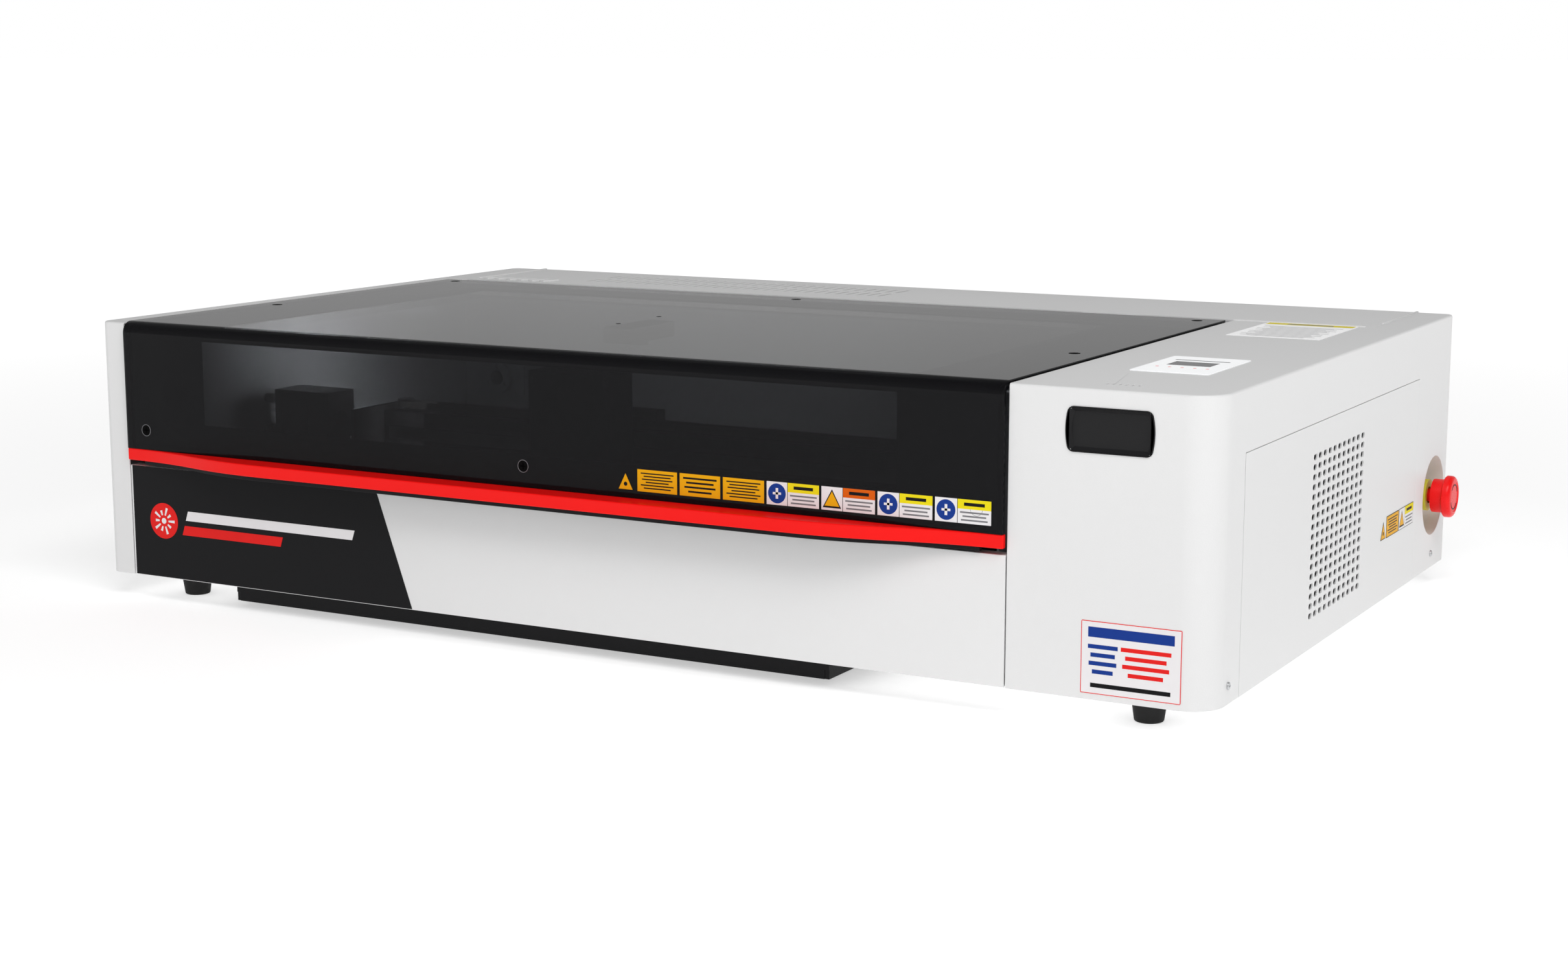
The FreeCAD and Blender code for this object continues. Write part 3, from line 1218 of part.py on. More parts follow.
def estop_collar():
    """Yellow collar with a wider amber flange on the pocket's floor."""
    x0 = HALF_W - SHEET - CUP_DEPTH
    flange = rod(20, 3, (x0, ESTOP_Y, ESTOP_Z), X_AXIS)
    neck = rod(15, 17.5, (x0, ESTOP_Y, ESTOP_Z), X_AXIS)
    return fuse([flange, neck]).cut(rod(8.1, 40, (x0 - 5, ESTOP_Y, ESTOP_Z), X_AXIS))


def estop_plunger():
    """Red neck and stem which are pushed in."""
    x0 = HALF_W - SHEET - CUP_DEPTH
    stem = rod(6, 40, (x0 - 10, ESTOP_Y, ESTOP_Z), X_AXIS)
    neck = rod(16, ESTOP_BACK - (HALF_W + 0.6), (HALF_W + 0.6, ESTOP_Y, ESTOP_Z), X_AXIS)
    boss = rod(5, 6, (ESTOP_BACK, ESTOP_Y, ESTOP_Z), X_AXIS)
    return fuse([stem, neck, boss])


def estop_head():
    """Mushroom head with a rounded rim, grip ribs and a shallow dished front."""
    x0 = ESTOP_FRONT - ESTOP_HEAD_L
    radius = 20.0
    body = rod(radius, ESTOP_HEAD_L, (x0, ESTOP_Y, ESTOP_Z), X_AXIS)
    body = body.makeFillet(5.0, rims(body, Vector(ESTOP_FRONT, ESTOP_Y, ESTOP_Z), radius))
    body = body.makeFillet(1.5, rims(body, Vector(x0, ESTOP_Y, ESTOP_Z), radius))
    grooves = []
    for index in range(28):
        angle = math.radians(index * 360.0 / 28)
        y = ESTOP_Y + (radius + 0.3) * math.cos(angle)
        z = ESTOP_Z + (radius + 0.3) * math.sin(angle)
        grooves.append(rod(1.0, 5.2, (x0 + 0.8, y, z), X_AXIS))
    grooves.append(rod(5.05, 6.3, (x0 - 0.1, ESTOP_Y, ESTOP_Z), X_AXIS))
    return cut(body, grooves)


# ---- build --------------------------------------------------------------------------------
def group(solids):
    return Part.makeCompound(solids)


def build():
    os.makedirs("parts", exist_ok=True)
    shell = case_shell()
    nodes = {
        # case
        "left_side_panel": left_side_panel(shell),
        "right_housing": group([right_housing(shell), estop_cup()]),
        "access_panel": access_panel(),
        "rear_cover": rear_cover(),
        "rear_panel": rear_panel(),
        "base_pan": base_pan(),
        "feet": group(feet()),
        "housing_screws": group(housing_screws()),
        "left_inner_wall": group([left_inner_wall(), bed_rail(WALL_L, 1)]),
        "right_inner_wall": group([right_inner_wall(), bed_rail(WALL_R, -1)]),
        "rear_bulkhead": group(rear_bulkhead()),
        "front_crossbar": group([front_crossbar()] + door_magnets()),
        "honeycomb_bed": group(honeycomb_bed()),
        "beam_port_flange": beam_port_flange(),
        "hinge_leaves": group(hinge_leaves() + hinge_pins()),
        "door_pivots": group(door_pivots()),
        "tray_rails": group(tray_rails()),
        # controls
        "screen_housing": screen_housing(),
        "screen_glass": screen_glass(),
        "front_insert": front_insert(),
        "estop_collar": estop_collar(),
        "estop_plunger": estop_plunger(),
        "estop_head": estop_head(),
        "power_inlet": power_inlet(),
        "power_rocker": power_rocker(),
        # lid
        "lid_shell": lid_shell(),
        "lid_frame": lid_frame(),
        "lid_screws": group(lid_screws()),
        "lid_camera": lid_camera(),
        "lid_handle": lid_handle(),
        "handle_lip": handle_lip(),
        "hinge_arms": group(hinge_arms()),
        # front door and tray
        "front_door": front_door(),
        "front_door_accent": front_door_accent(),
        "crumb_tray": crumb_tray(),
        # motion system
        "y_rails": group(y_rails()),
        "y_belts": group(y_belts()),
        "y_bearings": group(y_bearings() + y_idlers()),
        "y_drive_shaft": y_drive_shaft(),
        "y_motor": y_motor(),
        "gantry_beam": group([gantry_beam(), chain_shelf()]),
        "gantry_plates": group(gantry_plates()),
        "x_rail": group([x_rail(), x_idler()]),
        "x_belt": x_belt(),
        "x_motor": x_motor(),
        "x_drive_pulley": x_drive_pulley(),
        "mirror_mount_2": group(mirror_mount_2()),
        "head_carriage": group([head_carriage(), lens_holder(), head_mirror()]),
        "head_cover": head_cover(),
        "cable_chain": cable_chain(),
        "lens_tube": lens_tube(),
        # rear bay and electronics
        "laser_tube": group(laser_tube()),
        "tube_mounts": group(tube_clamps() + [mirror_mount_1()]),
        "exhaust_duct": group(exhaust_duct()),
        "exhaust_fan_frame": exhaust_fan_frame(),
        "exhaust_rotor": exhaust_rotor(),
        "exhaust_outlet": exhaust_outlet(),
        "cooling_unit": group([radiator(), coolant_tank()]),
        "power_supplies": group([power_supply(), laser_supply()]),
        "control_board": control_board(),
    }
    for name, shape in nodes.items():
        save(name, shape)


build()
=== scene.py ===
"""Looks of a closed-cabinet laser engraver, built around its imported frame.

Lengths are in metres in the row frame: X to the right, Y to the rear and Z up from the floor.
"""

import json
import logging
import math
from dataclasses import dataclass
from enum import Enum
from typing import Any, Callable, ClassVar, Iterable, Sequence, Union

import bmesh
import bpy
from mathutils import Matrix, Vector

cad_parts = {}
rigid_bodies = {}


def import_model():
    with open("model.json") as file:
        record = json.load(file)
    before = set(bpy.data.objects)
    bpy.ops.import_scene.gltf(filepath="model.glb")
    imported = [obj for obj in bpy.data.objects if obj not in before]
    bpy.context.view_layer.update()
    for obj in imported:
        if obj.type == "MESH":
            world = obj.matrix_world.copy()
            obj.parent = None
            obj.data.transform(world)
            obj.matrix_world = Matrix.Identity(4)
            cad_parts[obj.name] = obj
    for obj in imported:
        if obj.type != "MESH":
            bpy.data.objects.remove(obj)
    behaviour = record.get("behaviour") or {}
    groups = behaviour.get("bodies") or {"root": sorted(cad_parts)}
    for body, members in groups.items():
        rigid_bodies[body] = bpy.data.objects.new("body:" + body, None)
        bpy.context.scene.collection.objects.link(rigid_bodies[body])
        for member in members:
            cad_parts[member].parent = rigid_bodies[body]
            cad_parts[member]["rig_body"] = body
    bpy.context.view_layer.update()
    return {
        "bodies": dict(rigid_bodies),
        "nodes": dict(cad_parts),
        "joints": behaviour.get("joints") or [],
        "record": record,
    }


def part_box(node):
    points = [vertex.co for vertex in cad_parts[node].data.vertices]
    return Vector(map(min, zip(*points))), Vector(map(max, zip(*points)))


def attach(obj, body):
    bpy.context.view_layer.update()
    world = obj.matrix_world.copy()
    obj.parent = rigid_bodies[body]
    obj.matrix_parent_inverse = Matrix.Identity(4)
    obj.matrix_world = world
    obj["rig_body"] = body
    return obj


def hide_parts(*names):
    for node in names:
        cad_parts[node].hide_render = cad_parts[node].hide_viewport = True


MM = 0.001
MERGE_GAP = 1e-6
FLAT_ANGLE = math.radians(0.4)
SMOOTH_ANGLE = math.radians(32)

log = logging.getLogger("engraver")

Colour = tuple[float, float, float]
Triple = Sequence[float]


# ---- shader graphs ------------------------------------------------------------------------
class Socket:
    """Output of a shader node, usable in arithmetic."""

    def __init__(self, graph: "Graph", output: bpy.types.NodeSocket) -> None:
        """Keeps the graph that new Math nodes go in.

        Args:
            graph: the material's graph.
            output: the node's output socket.
        """
        self.graph = graph
        self.output = output

    def _math(self, operation: str, first: "Operand", second: "Operand") -> "Socket":
        """Adds a Math node of one operation on two operands."""
        return self.graph.node("ShaderNodeMath", {"operation": operation}, {0: first, 1: second})

    def __add__(self, other: "Operand") -> "Socket":
        """Sum."""
        return self._math("ADD", self, other)

    def __radd__(self, other: "Operand") -> "Socket":
        """Reflected sum."""
        return self._math("ADD", other, self)

    def __sub__(self, other: "Operand") -> "Socket":
        """Difference."""
        return self._math("SUBTRACT", self, other)

    def __rsub__(self, other: "Operand") -> "Socket":
        """Reflected difference."""
        return self._math("SUBTRACT", other, self)

    def __mul__(self, other: "Operand") -> "Socket":
        """Product."""
        return self._math("MULTIPLY", self, other)

    def __rmul__(self, other: "Operand") -> "Socket":
        """Reflected product."""
        return self._math("MULTIPLY", other, self)


Operand = Union[Socket, float]


class Graph:
    """A node tree that is filled by name."""

    def __init__(self, tree: bpy.types.NodeTree) -> None:
        """Empties the tree.

        Args:
            tree: the node tree of a material or a world.
        """
        self.tree = tree
        self.tree.nodes.clear()

    def node(self, kind: str, settings: dict[str, Any] | None = None,
             inputs: dict[Any, Any] | None = None, output: Any = 0) -> Socket:
        """Adds one node.

        Args:
            kind: the node's type name.
            settings: its properties, and "stops" for a ramp's (position, colour) pairs.
            inputs: values or sockets for its inputs, by name or number.
            output: the output to return, by name or number.

        Returns:
            The chosen output.
        """
        node = self.tree.nodes.new(kind)
        for key, value in (settings or {}).items():
            if key == "stops":
                self._fill_ramp(node.color_ramp, value)
            else:
                setattr(node, key, value)
        for key, value in (inputs or {}).items():
            self._feed(node.inputs[key], value)
        return Socket(self, node.outputs[output]) if len(node.outputs) else None

    def _feed(self, target: bpy.types.NodeSocket, value: Any) -> None:
        """Links a socket, or sets a plain value.

        Args:
            target: the input to feed.
            value: a Socket to link, or a plain value.
        """
        if isinstance(value, Socket):
            self.tree.links.new(value.output, target)
        elif isinstance(value, tuple) and len(value) == 3 and target.type == "RGBA":
            target.default_value = (*value, 1.0)
        else:
            target.default_value = value

    @staticmethod
    def _fill_ramp(ramp: bpy.types.ColorRamp, stops: Sequence[tuple[float, Colour]]) -> None:
        """Gives a ramp its stops.

        Args:
            ramp: the colour ramp.
            stops: positions with their colours.
        """
        while len(ramp.elements) < len(stops):
            ramp.elements.new(1.0)
        for element, (position, colour) in zip(ramp.elements, stops):
            element.position = position
            element.color = (*colour, 1.0)

    def place(self, stretch: Triple = (1.0, 1.0, 1.0)) -> Socket:
        """Object coordinates, scaled along each axis.

        Args:
            stretch: the scale along X, Y and Z.

        Returns:
            The coordinates.
        """
        here = self.node("ShaderNodeTexCoord", output="Object")
        if tuple(stretch) == (1.0, 1.0, 1.0):
            return here
        return self.node("ShaderNodeMapping", inputs={"Vector": here, "Scale": Vector(stretch)})

    def noise(self, size: float, detail: float = 2.0, stretch: Triple = (1.0, 1.0, 1.0)) -> Socket:
        """Cloudy noise with features of about one size, from 0 to 1.

        Args:
            size: the size of its features.
            detail: its finer octaves.
            stretch: the scale along X, Y and Z.

        Returns:
            The noise.
        """
        spot = self.place(stretch)
        inputs = {"Vector": spot, "Scale": 1 / size, "Detail": detail}
        return self.node("ShaderNodeTexNoise", None, inputs, "Fac")

    def blend(self, share: Operand, low: Any, high: Any) -> Socket:
        """Mixes two colours."""
        return self.node("ShaderNodeMix", {"data_type": "RGBA"}, {0: share, 6: low, 7: high}, 2)

    def bump(self, height: Operand, depth: float, strength: float = 1.0) -> Socket:
        """Normal of a surface with a height pattern of one depth.

        Args:
            height: the height pattern, from 0 to 1.
            depth: the depth that 1 stands for.
            strength: how much of it shows.

        Returns:
            The normal.
        """
        inputs = {"Strength": strength, "Distance": depth, "Height": height}
        return self.node("ShaderNodeBump", None, inputs, "Normal")

    def shader(self, **inputs: Any) -> None:
        """Ends a material in one Principled shader; underscores in names stand for spaces.

        Args:
            **inputs: the shader's inputs.
        """
        named = {key.replace("_", " "): value for key, value in inputs.items()}
        surface = self.node("ShaderNodeBsdfPrincipled", None, named, "BSDF")
        self.node("ShaderNodeOutputMaterial", None, {"Surface": surface})


def shaded(colour: Colour, factor: float) -> Colour:
    """The colour times a factor, kept at most 1."""
    return tuple(min(1.0, part * factor) for part in colour)


# ---- finishes -----------------------------------------------------------------------------
@dataclass(frozen=True)
class PowderCoat:
    """Baked powder coat: fine orange peel, with slightly uneven cover."""

    colour: Colour
    roughness: float = 0.42
    peel: float = 1.1 * MM
    depth: float = 0.05 * MM
    uneven: float = 0.02
    specular: float = 0.5

    def paint(self, graph: Graph) -> None:
        """Fills a material's graph.

        Args:
            graph: the graph of the material's node tree.
        """
        peel = graph.noise(self.peel, 2.0)
        cloud = graph.noise(160 * MM, 2.0)
        speck = peel * 0.6 + cloud * 0.4
        low, high = shaded(self.colour, 1 - self.uneven), shaded(self.colour, 1 + self.uneven)
        colour = graph.blend(speck, low, high)
        graph.shader(
            Base_Color=colour,
            Roughness=self.roughness + (peel - 0.5) * 0.16,
            Specular_IOR_Level=self.specular,
            Normal=graph.bump(peel, self.depth),
        )


@dataclass(frozen=True)
class Lacquer:
    """Satin wet paint over sheet metal, with a faint texture."""

    colour: Colour
    roughness: float = 0.3
    specular: float = 0.15

    def paint(self, graph: Graph) -> None:
        """Fills a material's graph.

        Args:
            graph: the graph of the material's node tree.
        """
        grain = graph.noise(0.9 * MM, 2.0)
        cloud = graph.noise(120 * MM, 2.0)
        colour = graph.blend(cloud, shaded(self.colour, 0.96), shaded(self.colour, 1.04))
        graph.shader(
            Base_Color=colour,
            Roughness=self.roughness + (grain - 0.5) * 0.1,
            Specular_IOR_Level=self.specular,
            Normal=graph.bump(grain, 0.02 * MM),
        )


@dataclass(frozen=True)
class Moulded:
    """Injection-moulded plastic with a spark-eroded grain."""

    colour: Colour
    roughness: float = 0.45
    grain: float = 0.7 * MM
    depth: float = 0.05 * MM
    specular: float = 0.2

    def paint(self, graph: Graph) -> None:
        """Fills a material's graph.

        Args:
            graph: the graph of the material's node tree.
        """
        pits = graph.noise(self.grain, 3.0)
        cloud = graph.noise(40 * MM, 2.0)
        colour = graph.blend(cloud, shaded(self.colour, 0.94), shaded(self.colour, 1.06))
        graph.shader(
            Base_Color=colour,
            Roughness=self.roughness + (pits - 0.5) * 0.2,
            Specular_IOR_Level=self.specular,
            Normal=graph.bump(pits, self.depth),
        )


@dataclass(frozen=True)
class Metal:
    """Bare or anodised metal with drawing lines along one axis."""

    colour: Colour
    roughness: float = 0.3
    along: Triple = (0.02, 1.0, 1.0)
    metallic: float = 1.0

    def paint(self, graph: Graph) -> None:
        """Fills a material's graph.

        Args:
            graph: the graph of the material's node tree.
        """
        lines = graph.noise(0.5 * MM, 3.0, self.along)
        cloud = graph.noise(60 * MM, 2.0)
        colour = graph.blend(lines, shaded(self.colour, 0.92), shaded(self.colour, 1.08))
        graph.shader(
            Base_Color=colour,
            Metallic=self.metallic,
            Roughness=self.roughness + (lines - 0.5) * 0.16 + (cloud - 0.5) * 0.08,
            Normal=graph.bump(lines, 0.015 * MM),
        )


@dataclass(frozen=True)
class Rubber:
    """Dull rubber with a powdery bloom."""

    colour: Colour
    roughness: float = 0.7

    def paint(self, graph: Graph) -> None:
        """Fills a material's graph.

        Args:
            graph: the graph of the material's node tree.
        """
        bloom = graph.noise(9 * MM, 4.0)
        pores = graph.noise(0.6 * MM, 2.0)
        colour = graph.blend(bloom, self.colour, shaded(self.colour, 1.6))
        graph.shader(
            Base_Color=colour,
            Roughness=self.roughness + (bloom - 0.5) * 0.2,
            Specular_IOR_Level=0.2,
            Normal=graph.bump(pores, 0.04 * MM),
        )


@dataclass(frozen=True)
class Acrylic:
    """Tinted acrylic or glass sheet with a faint wiping haze."""

    colour: Colour
    cover: float
    roughness: float = 0.03
    specular: float = 0.12

    def paint(self, graph: Graph) -> None:
        """Fills a material's graph.

        Args:
            graph: the graph of the material's node tree.
        """
        haze = graph.noise(70 * MM, 3.0, (1.0, 0.3, 1.0))
        tint = graph.blend(haze, self.colour, shaded(self.colour, 1.15))
        graph.shader(
            Base_Color=tint,
            Roughness=self.roughness + haze * 0.03,
            Alpha=self.cover,
            Specular_IOR_Level=self.specular,
        )


@dataclass(frozen=True)
class Print:
    """Printed vinyl, with a slight tooth and an ink that isn't quite even."""

    colour: Colour
    roughness: float = 0.38
    glow: float = 0.0
    specular: float = 0.06

    def paint(self, graph: Graph) -> None:
        """Fills a material's graph.

        Args:
            graph: the graph of the material's node tree.
        """
        tooth = graph.noise(0.35 * MM, 1.0)
        cloud = graph.noise(18 * MM, 2.0)
        colour = graph.blend(cloud, shaded(self.colour, 0.97), shaded(self.colour, 1.03))
        graph.shader(
            Base_Color=colour,
            Roughness=self.roughness + (tooth - 0.5) * 0.12,
            Specular_IOR_Level=self.specular,
            Emission_Color=colour,
            Emission_Strength=self.glow,
            Normal=graph.bump(tooth, 0.01 * MM),
        )


class Finish(Enum):
    """Every finish on the machine; those that the record knows bear its slots' names."""

    WHITE_PAINT = PowderCoat((0.80, 0.80, 0.80), 0.42, 1.1 * MM, 0.05 * MM, 0.02, 0.4)
    INNER_PAINT = PowderCoat((0.36, 0.38, 0.41), 0.5, 1.4 * MM)
    BLACK_PAINT = PowderCoat((0.009, 0.009, 0.010), 0.45, 1.0 * MM, 0.08 * MM, 0.12, 0.12)
    BLACK_PLASTIC = Moulded((0.011, 0.011, 0.012), 0.42, 0.7 * MM, 0.05 * MM, 0.2)
    SMOKED_ACRYLIC = Acrylic((0.006, 0.006, 0.007), 0.80)
    RED_PAINT = Lacquer((0.96, 0.006, 0.005), 0.34)
    RED_PLASTIC = Moulded((0.93, 0.006, 0.007), 0.3, 1.2 * MM, 0.02 * MM, 0.25)
    YELLOW_PLASTIC = Moulded((0.68, 0.62, 0.06), 0.4)
    ACCENT_FILM = Print((0.013, 0.013, 0.014), 0.4)
    SCREEN_GLASS = Print((0.86, 0.87, 0.88), 0.12, 0.35)
    RUBBER = Rubber((0.013, 0.013, 0.013))
    STEEL = Metal((0.56, 0.57, 0.58), 0.32)
    ALUMINIUM = Metal((0.72, 0.73, 0.74), 0.36)
    BLACK_ANODISED = Moulded((0.010, 0.010, 0.011), 0.36, 0.5 * MM, 0.02 * MM, 0.3)
    TUBE_GLASS = Acrylic((0.62, 0.66, 0.68), 0.35, 0.02, 0.5)
    GREEN_BOARD = Moulded((0.012, 0.11, 0.035), 0.35, 3.0 * MM)
    COOLANT_PLASTIC = Moulded((0.60, 0.63, 0.66), 0.4)
    AMBER = Moulded((0.75, 0.36, 0.01), 0.35)
    PRINT_WHITE = Print((0.84, 0.82, 0.83))
    # laminated label: its glow of 0.22 is painted light, an emission that brightens it beyond what the lamps
    # give
    LAMINATE = Print((0.92, 0.92, 0.92), 0.12, 0.22, 0.5)
    PRINT_BLACK = Print((0.010, 0.010, 0.011))
    PRINT_AMBER = Print((0.86, 0.43, 0.006))
    PRINT_YELLOW = Print((0.86, 0.72, 0.012))
    PRINT_ORANGE = Print((0.72, 0.12, 0.006))
    PRINT_BLUE = Print((0.012, 0.045, 0.27))
    PRINT_GREY = Print((0.20, 0.20, 0.21))
    PRINT_RED = Print((0.80, 0.020, 0.018))
    SCREEN_DARK = Print((0.05, 0.05, 0.055), 0.12, 0.1)
    SCREEN_RED = Print((0.80, 0.05, 0.04), 0.12, 0.3)
    BLACK_OXIDE = Moulded((0.006, 0.006, 0.006), 0.5, 0.5 * MM, 0.02 * MM, 0.0)
    BRASS_PIN = Metal((0.62, 0.60, 0.52), 0.25)


class Paintshop:
    """Makes each finish's material once."""

    made: ClassVar[dict[Finish, bpy.types.Material]] = {}

    @classmethod
    def material(cls, finish: Finish) -> bpy.types.Material:
        """The material of one finish.

        Args:
            finish: the finish.

        Returns:
            Its material.
        """
        if finish not in cls.made:
            material = bpy.data.materials.new(finish.name.lower() + "_finish")
            material.use_nodes = True
            finish.value.paint(Graph(material.node_tree))
            cls.made[finish] = material
        return cls.made[finish]


# ---- mesh tools ---------------------------------------------------------------------------
class Facing(Enum):
    """Which way a flat piece looks, with its right-hand and upward directions."""

    FRONT = ((1, 0, 0), (0, 0, 1))
    TOP = ((1, 0, 0), (0, 1, 0))
    RIGHT = ((0, 1, 0), (0, 0, 1))
    REAR = ((-1, 0, 0), (0, 0, 1))
    LEFT = ((0, -1, 0), (0, 0, 1))

    def frame_at(self, origin: Triple) -> Matrix:
        """Matrix that takes local X, Y and Z to right, up and outwards at a point.

        Args:
            origin: the point.

        Returns:
            The matrix.
        """
        right, up = (Vector(side) for side in self.value)
        turn = Matrix((right, up, right.cross(up))).transposed()
        return Matrix.Translation(origin) @ turn.to_4x4()


class Solid:
    """A closed mesh while it is made. Every method returns the solid itself."""

    def __init__(self, bm: bmesh.types.BMesh | None = None) -> None:
        """Starts empty, or from a bmesh."""
        self.bm = bm or bmesh.new()

    @classmethod
    def box(cls, low: Triple, high: Triple) -> "Solid":
        """A box between two corners.

        Args:
            low: the lower corner.
            high: the upper corner.

        Returns:
            The box.
        """
        solid = cls()
        bmesh.ops.create_cube(solid.bm, size=1.0)
        size = Vector(high) - Vector(low)
        bmesh.ops.scale(solid.bm, vec=size, verts=solid.bm.verts)
        bmesh.ops.translate(solid.bm, vec=Vector(low) + size / 2, verts=solid.bm.verts)
        return solid

    @classmethod
    def rod(cls, radius: float, length: float, top_radius: float | None = None, sides: int = 32) -> "Solid":
        """A cylinder or cone from the origin up along Z.

        Args:
            radius: the radius at its foot.
            length: the length.
            top_radius: the radius at its top, if another.
            sides: the faces round it.

        Returns:
            The rod.
        """
        solid = cls()
        top = radius if top_radius is None else top_radius
        bmesh.ops.create_cone(solid.bm, cap_ends=True, segments=sides, radius1=radius, radius2=top,
                              depth=length)
        bmesh.ops.translate(solid.bm, vec=(0, 0, length / 2), verts=solid.bm.verts)
        return solid

    @classmethod
    def lathe(cls, profile: Sequence[tuple[float, float]], sides: int = 48, closed: bool = False) -> "Solid":
        """A profile of (radius, height) points turned round Z; closed joins its ends into a ring.

        Args:
            profile: the points.
            sides: the faces round it.
            closed: whether the profile is a closed loop.

        Returns:
            The turned solid.
        """
        solid = cls()
        points = [solid.bm.verts.new((radius, 0, height)) for radius, height in profile]
        pairs = list(zip(points, points[1:])) + ([(points[-1], points[0])] if closed else [])
        for pair in pairs:
            solid.bm.edges.new(pair)
        bmesh.ops.spin(solid.bm, geom=solid.bm.verts[:] + solid.bm.edges[:], cent=(0, 0, 0), axis=(0, 0, 1),
                       dvec=(0, 0, 0), angle=math.tau, steps=sides, use_merge=True)
        bmesh.ops.remove_doubles(solid.bm, verts=solid.bm.verts, dist=MERGE_GAP)
        bmesh.ops.recalc_face_normals(solid.bm, faces=solid.bm.faces)
        return solid

    @classmethod
    def ring(cls, radius: float, wire: float, sides: int, wire_sides: int) -> "Solid":
        """A wire ring round Z.

        Args:
            radius: the ring's radius.
            wire: the wire's radius.
            sides: the faces round the ring.
            wire_sides: the faces round the wire.

        Returns:
            The ring.
        """
        turns = [math.tau * index / wire_sides for index in range(wire_sides)]
        around = [(radius + wire * math.cos(turn), wire * math.sin(turn)) for turn in turns]
        return cls.lathe(around, sides, closed=True)

    @classmethod
    def prism(cls, outline: Sequence[tuple[float, float]], depth: float) -> "Solid":
        """An outline in the XY plane raised along Z.

        Args:
            outline: the outline's corners, in order.
            depth: the height.

        Returns:
            The prism.
        """
        solid = cls()
        base = solid.bm.faces.new([solid.bm.verts.new((x, y, 0)) for x, y in outline])
        raised = bmesh.ops.extrude_face_region(solid.bm, geom=[base])["geom"]
        corners = [item for item in raised if isinstance(item, bmesh.types.BMVert)]
        bmesh.ops.translate(solid.bm, vec=(0, 0, depth), verts=corners)
        bmesh.ops.recalc_face_normals(solid.bm, faces=solid.bm.faces)
        return solid

    @classmethod
    def coil(cls, radius: float, wire: float, length: float, turns: float, steps: int = 18) -> "Solid":
        """A round wire wound up along Z.

        Args:
            radius: the coil's radius.
            wire: the wire's radius.
            length: the length.
            turns: the number of turns.
            steps: the steps in one turn.

        Returns:
            The coil.
        """
        solid = cls()
        ring = bmesh.ops.create_circle(solid.bm, cap_ends=True, segments=8, radius=wire)["verts"]
        upright = Matrix.Rotation(math.radians(90), 3, "X")
        bmesh.ops.rotate(solid.bm, verts=ring, cent=(0, 0, 0), matrix=upright)
        bmesh.ops.translate(solid.bm, verts=ring, vec=(radius, 0, 0))
        count = int(turns * steps)
        wire_end = solid.bm.verts[:] + solid.bm.edges[:] + solid.bm.faces[:]
        bmesh.ops.spin(solid.bm, geom=wire_end, cent=(0, 0, 0), axis=(0, 0, 1), dvec=(0, 0, length / count),
                       angle=math.tau * turns, steps=count)
        bmesh.ops.recalc_face_normals(solid.bm, faces=solid.bm.faces)
        return solid

    def soften(self, width: float, segments: int = 2) -> "Solid":
        """Rounds every sharp edge.

        Args:
            width: the width of the rounding.
            segments: its segments.

        Returns:
            This solid.
        """
        sharp = [edge for edge in self.bm.edges if edge.is_manifold and edge.calc_face_angle() > SMOOTH_ANGLE]
        bmesh.ops.bevel(self.bm, geom=sharp, offset=width, segments=segments, profile=0.5, affect="EDGES",
                        clamp_overlap=True, material=-1)
        return self

    def soften_upright(self, radius: float, segments: int = 5) -> "Solid":
        """Rounds the edges that run along Z.

        Args:
            radius: the radius.
            segments: the rounding's segments.

        Returns:
            This solid.
        """
        upright = [edge for edge in self.bm.edges
                   if abs((edge.verts[1].co - edge.verts[0].co).normalized().z) > 0.99]
        bmesh.ops.bevel(self.bm, geom=upright, offset=radius, segments=segments, profile=0.5, affect="EDGES",
                        clamp_overlap=True, material=-1)
        return self

    def moved(self, matrix: Matrix) -> "Solid":
        """Moves and turns the solid."""
        bmesh.ops.transform(self.bm, matrix=matrix, verts=self.bm.verts)
        return self

    def at(self, *place: float) -> "Solid":
        """Shifts the solid."""
        return self.moved(Matrix.Translation(place))

    def painted(self, index: int) -> "Solid":
        """Gives every face one of the piece's finishes.

        Args:
            index: the finish's number.

        Returns:
            This solid.
        """
        for face in self.bm.faces:
            face.material_index = index
        return self

    def joined(self, others: Iterable["Solid"]) -> "Solid":
        """Takes in other solids, which are used up.

        Args:
            others: the solids to take in.

        Returns:
            This solid.
        """
        for other in others:
            shell = bpy.data.meshes.new("bit")
            other.bm.to_mesh(shell)
            other.bm.free()
            self.bm.from_mesh(shell)
            bpy.data.meshes.remove(shell)
        return self

    def copies(self, places: Iterable[Matrix]) -> "Solid":
        """One solid of copies of this one, which is used up.

        Args:
            places: a matrix for each copy.

        Returns:
            The copies as one solid.
        """
        shell = bpy.data.meshes.new("bit")
        self.bm.to_mesh(shell)
        self.bm.free()
        group = bmesh.new()
        for place in places:
            known = len(group.verts)
            group.from_mesh(shell)
            group.verts.ensure_lookup_table()
            bmesh.ops.transform(group, matrix=place, verts=group.verts[known:])
        bpy.data.meshes.remove(shell)
        return Solid(group)


def span(direction: Triple, base: Triple) -> Matrix:
    """Matrix that takes +Z to a direction and the origin to a base point."""
    turn = Vector(direction).to_track_quat("Z", "Y").to_matrix().to_4x4()
    return Matrix.Translation(base) @ turn


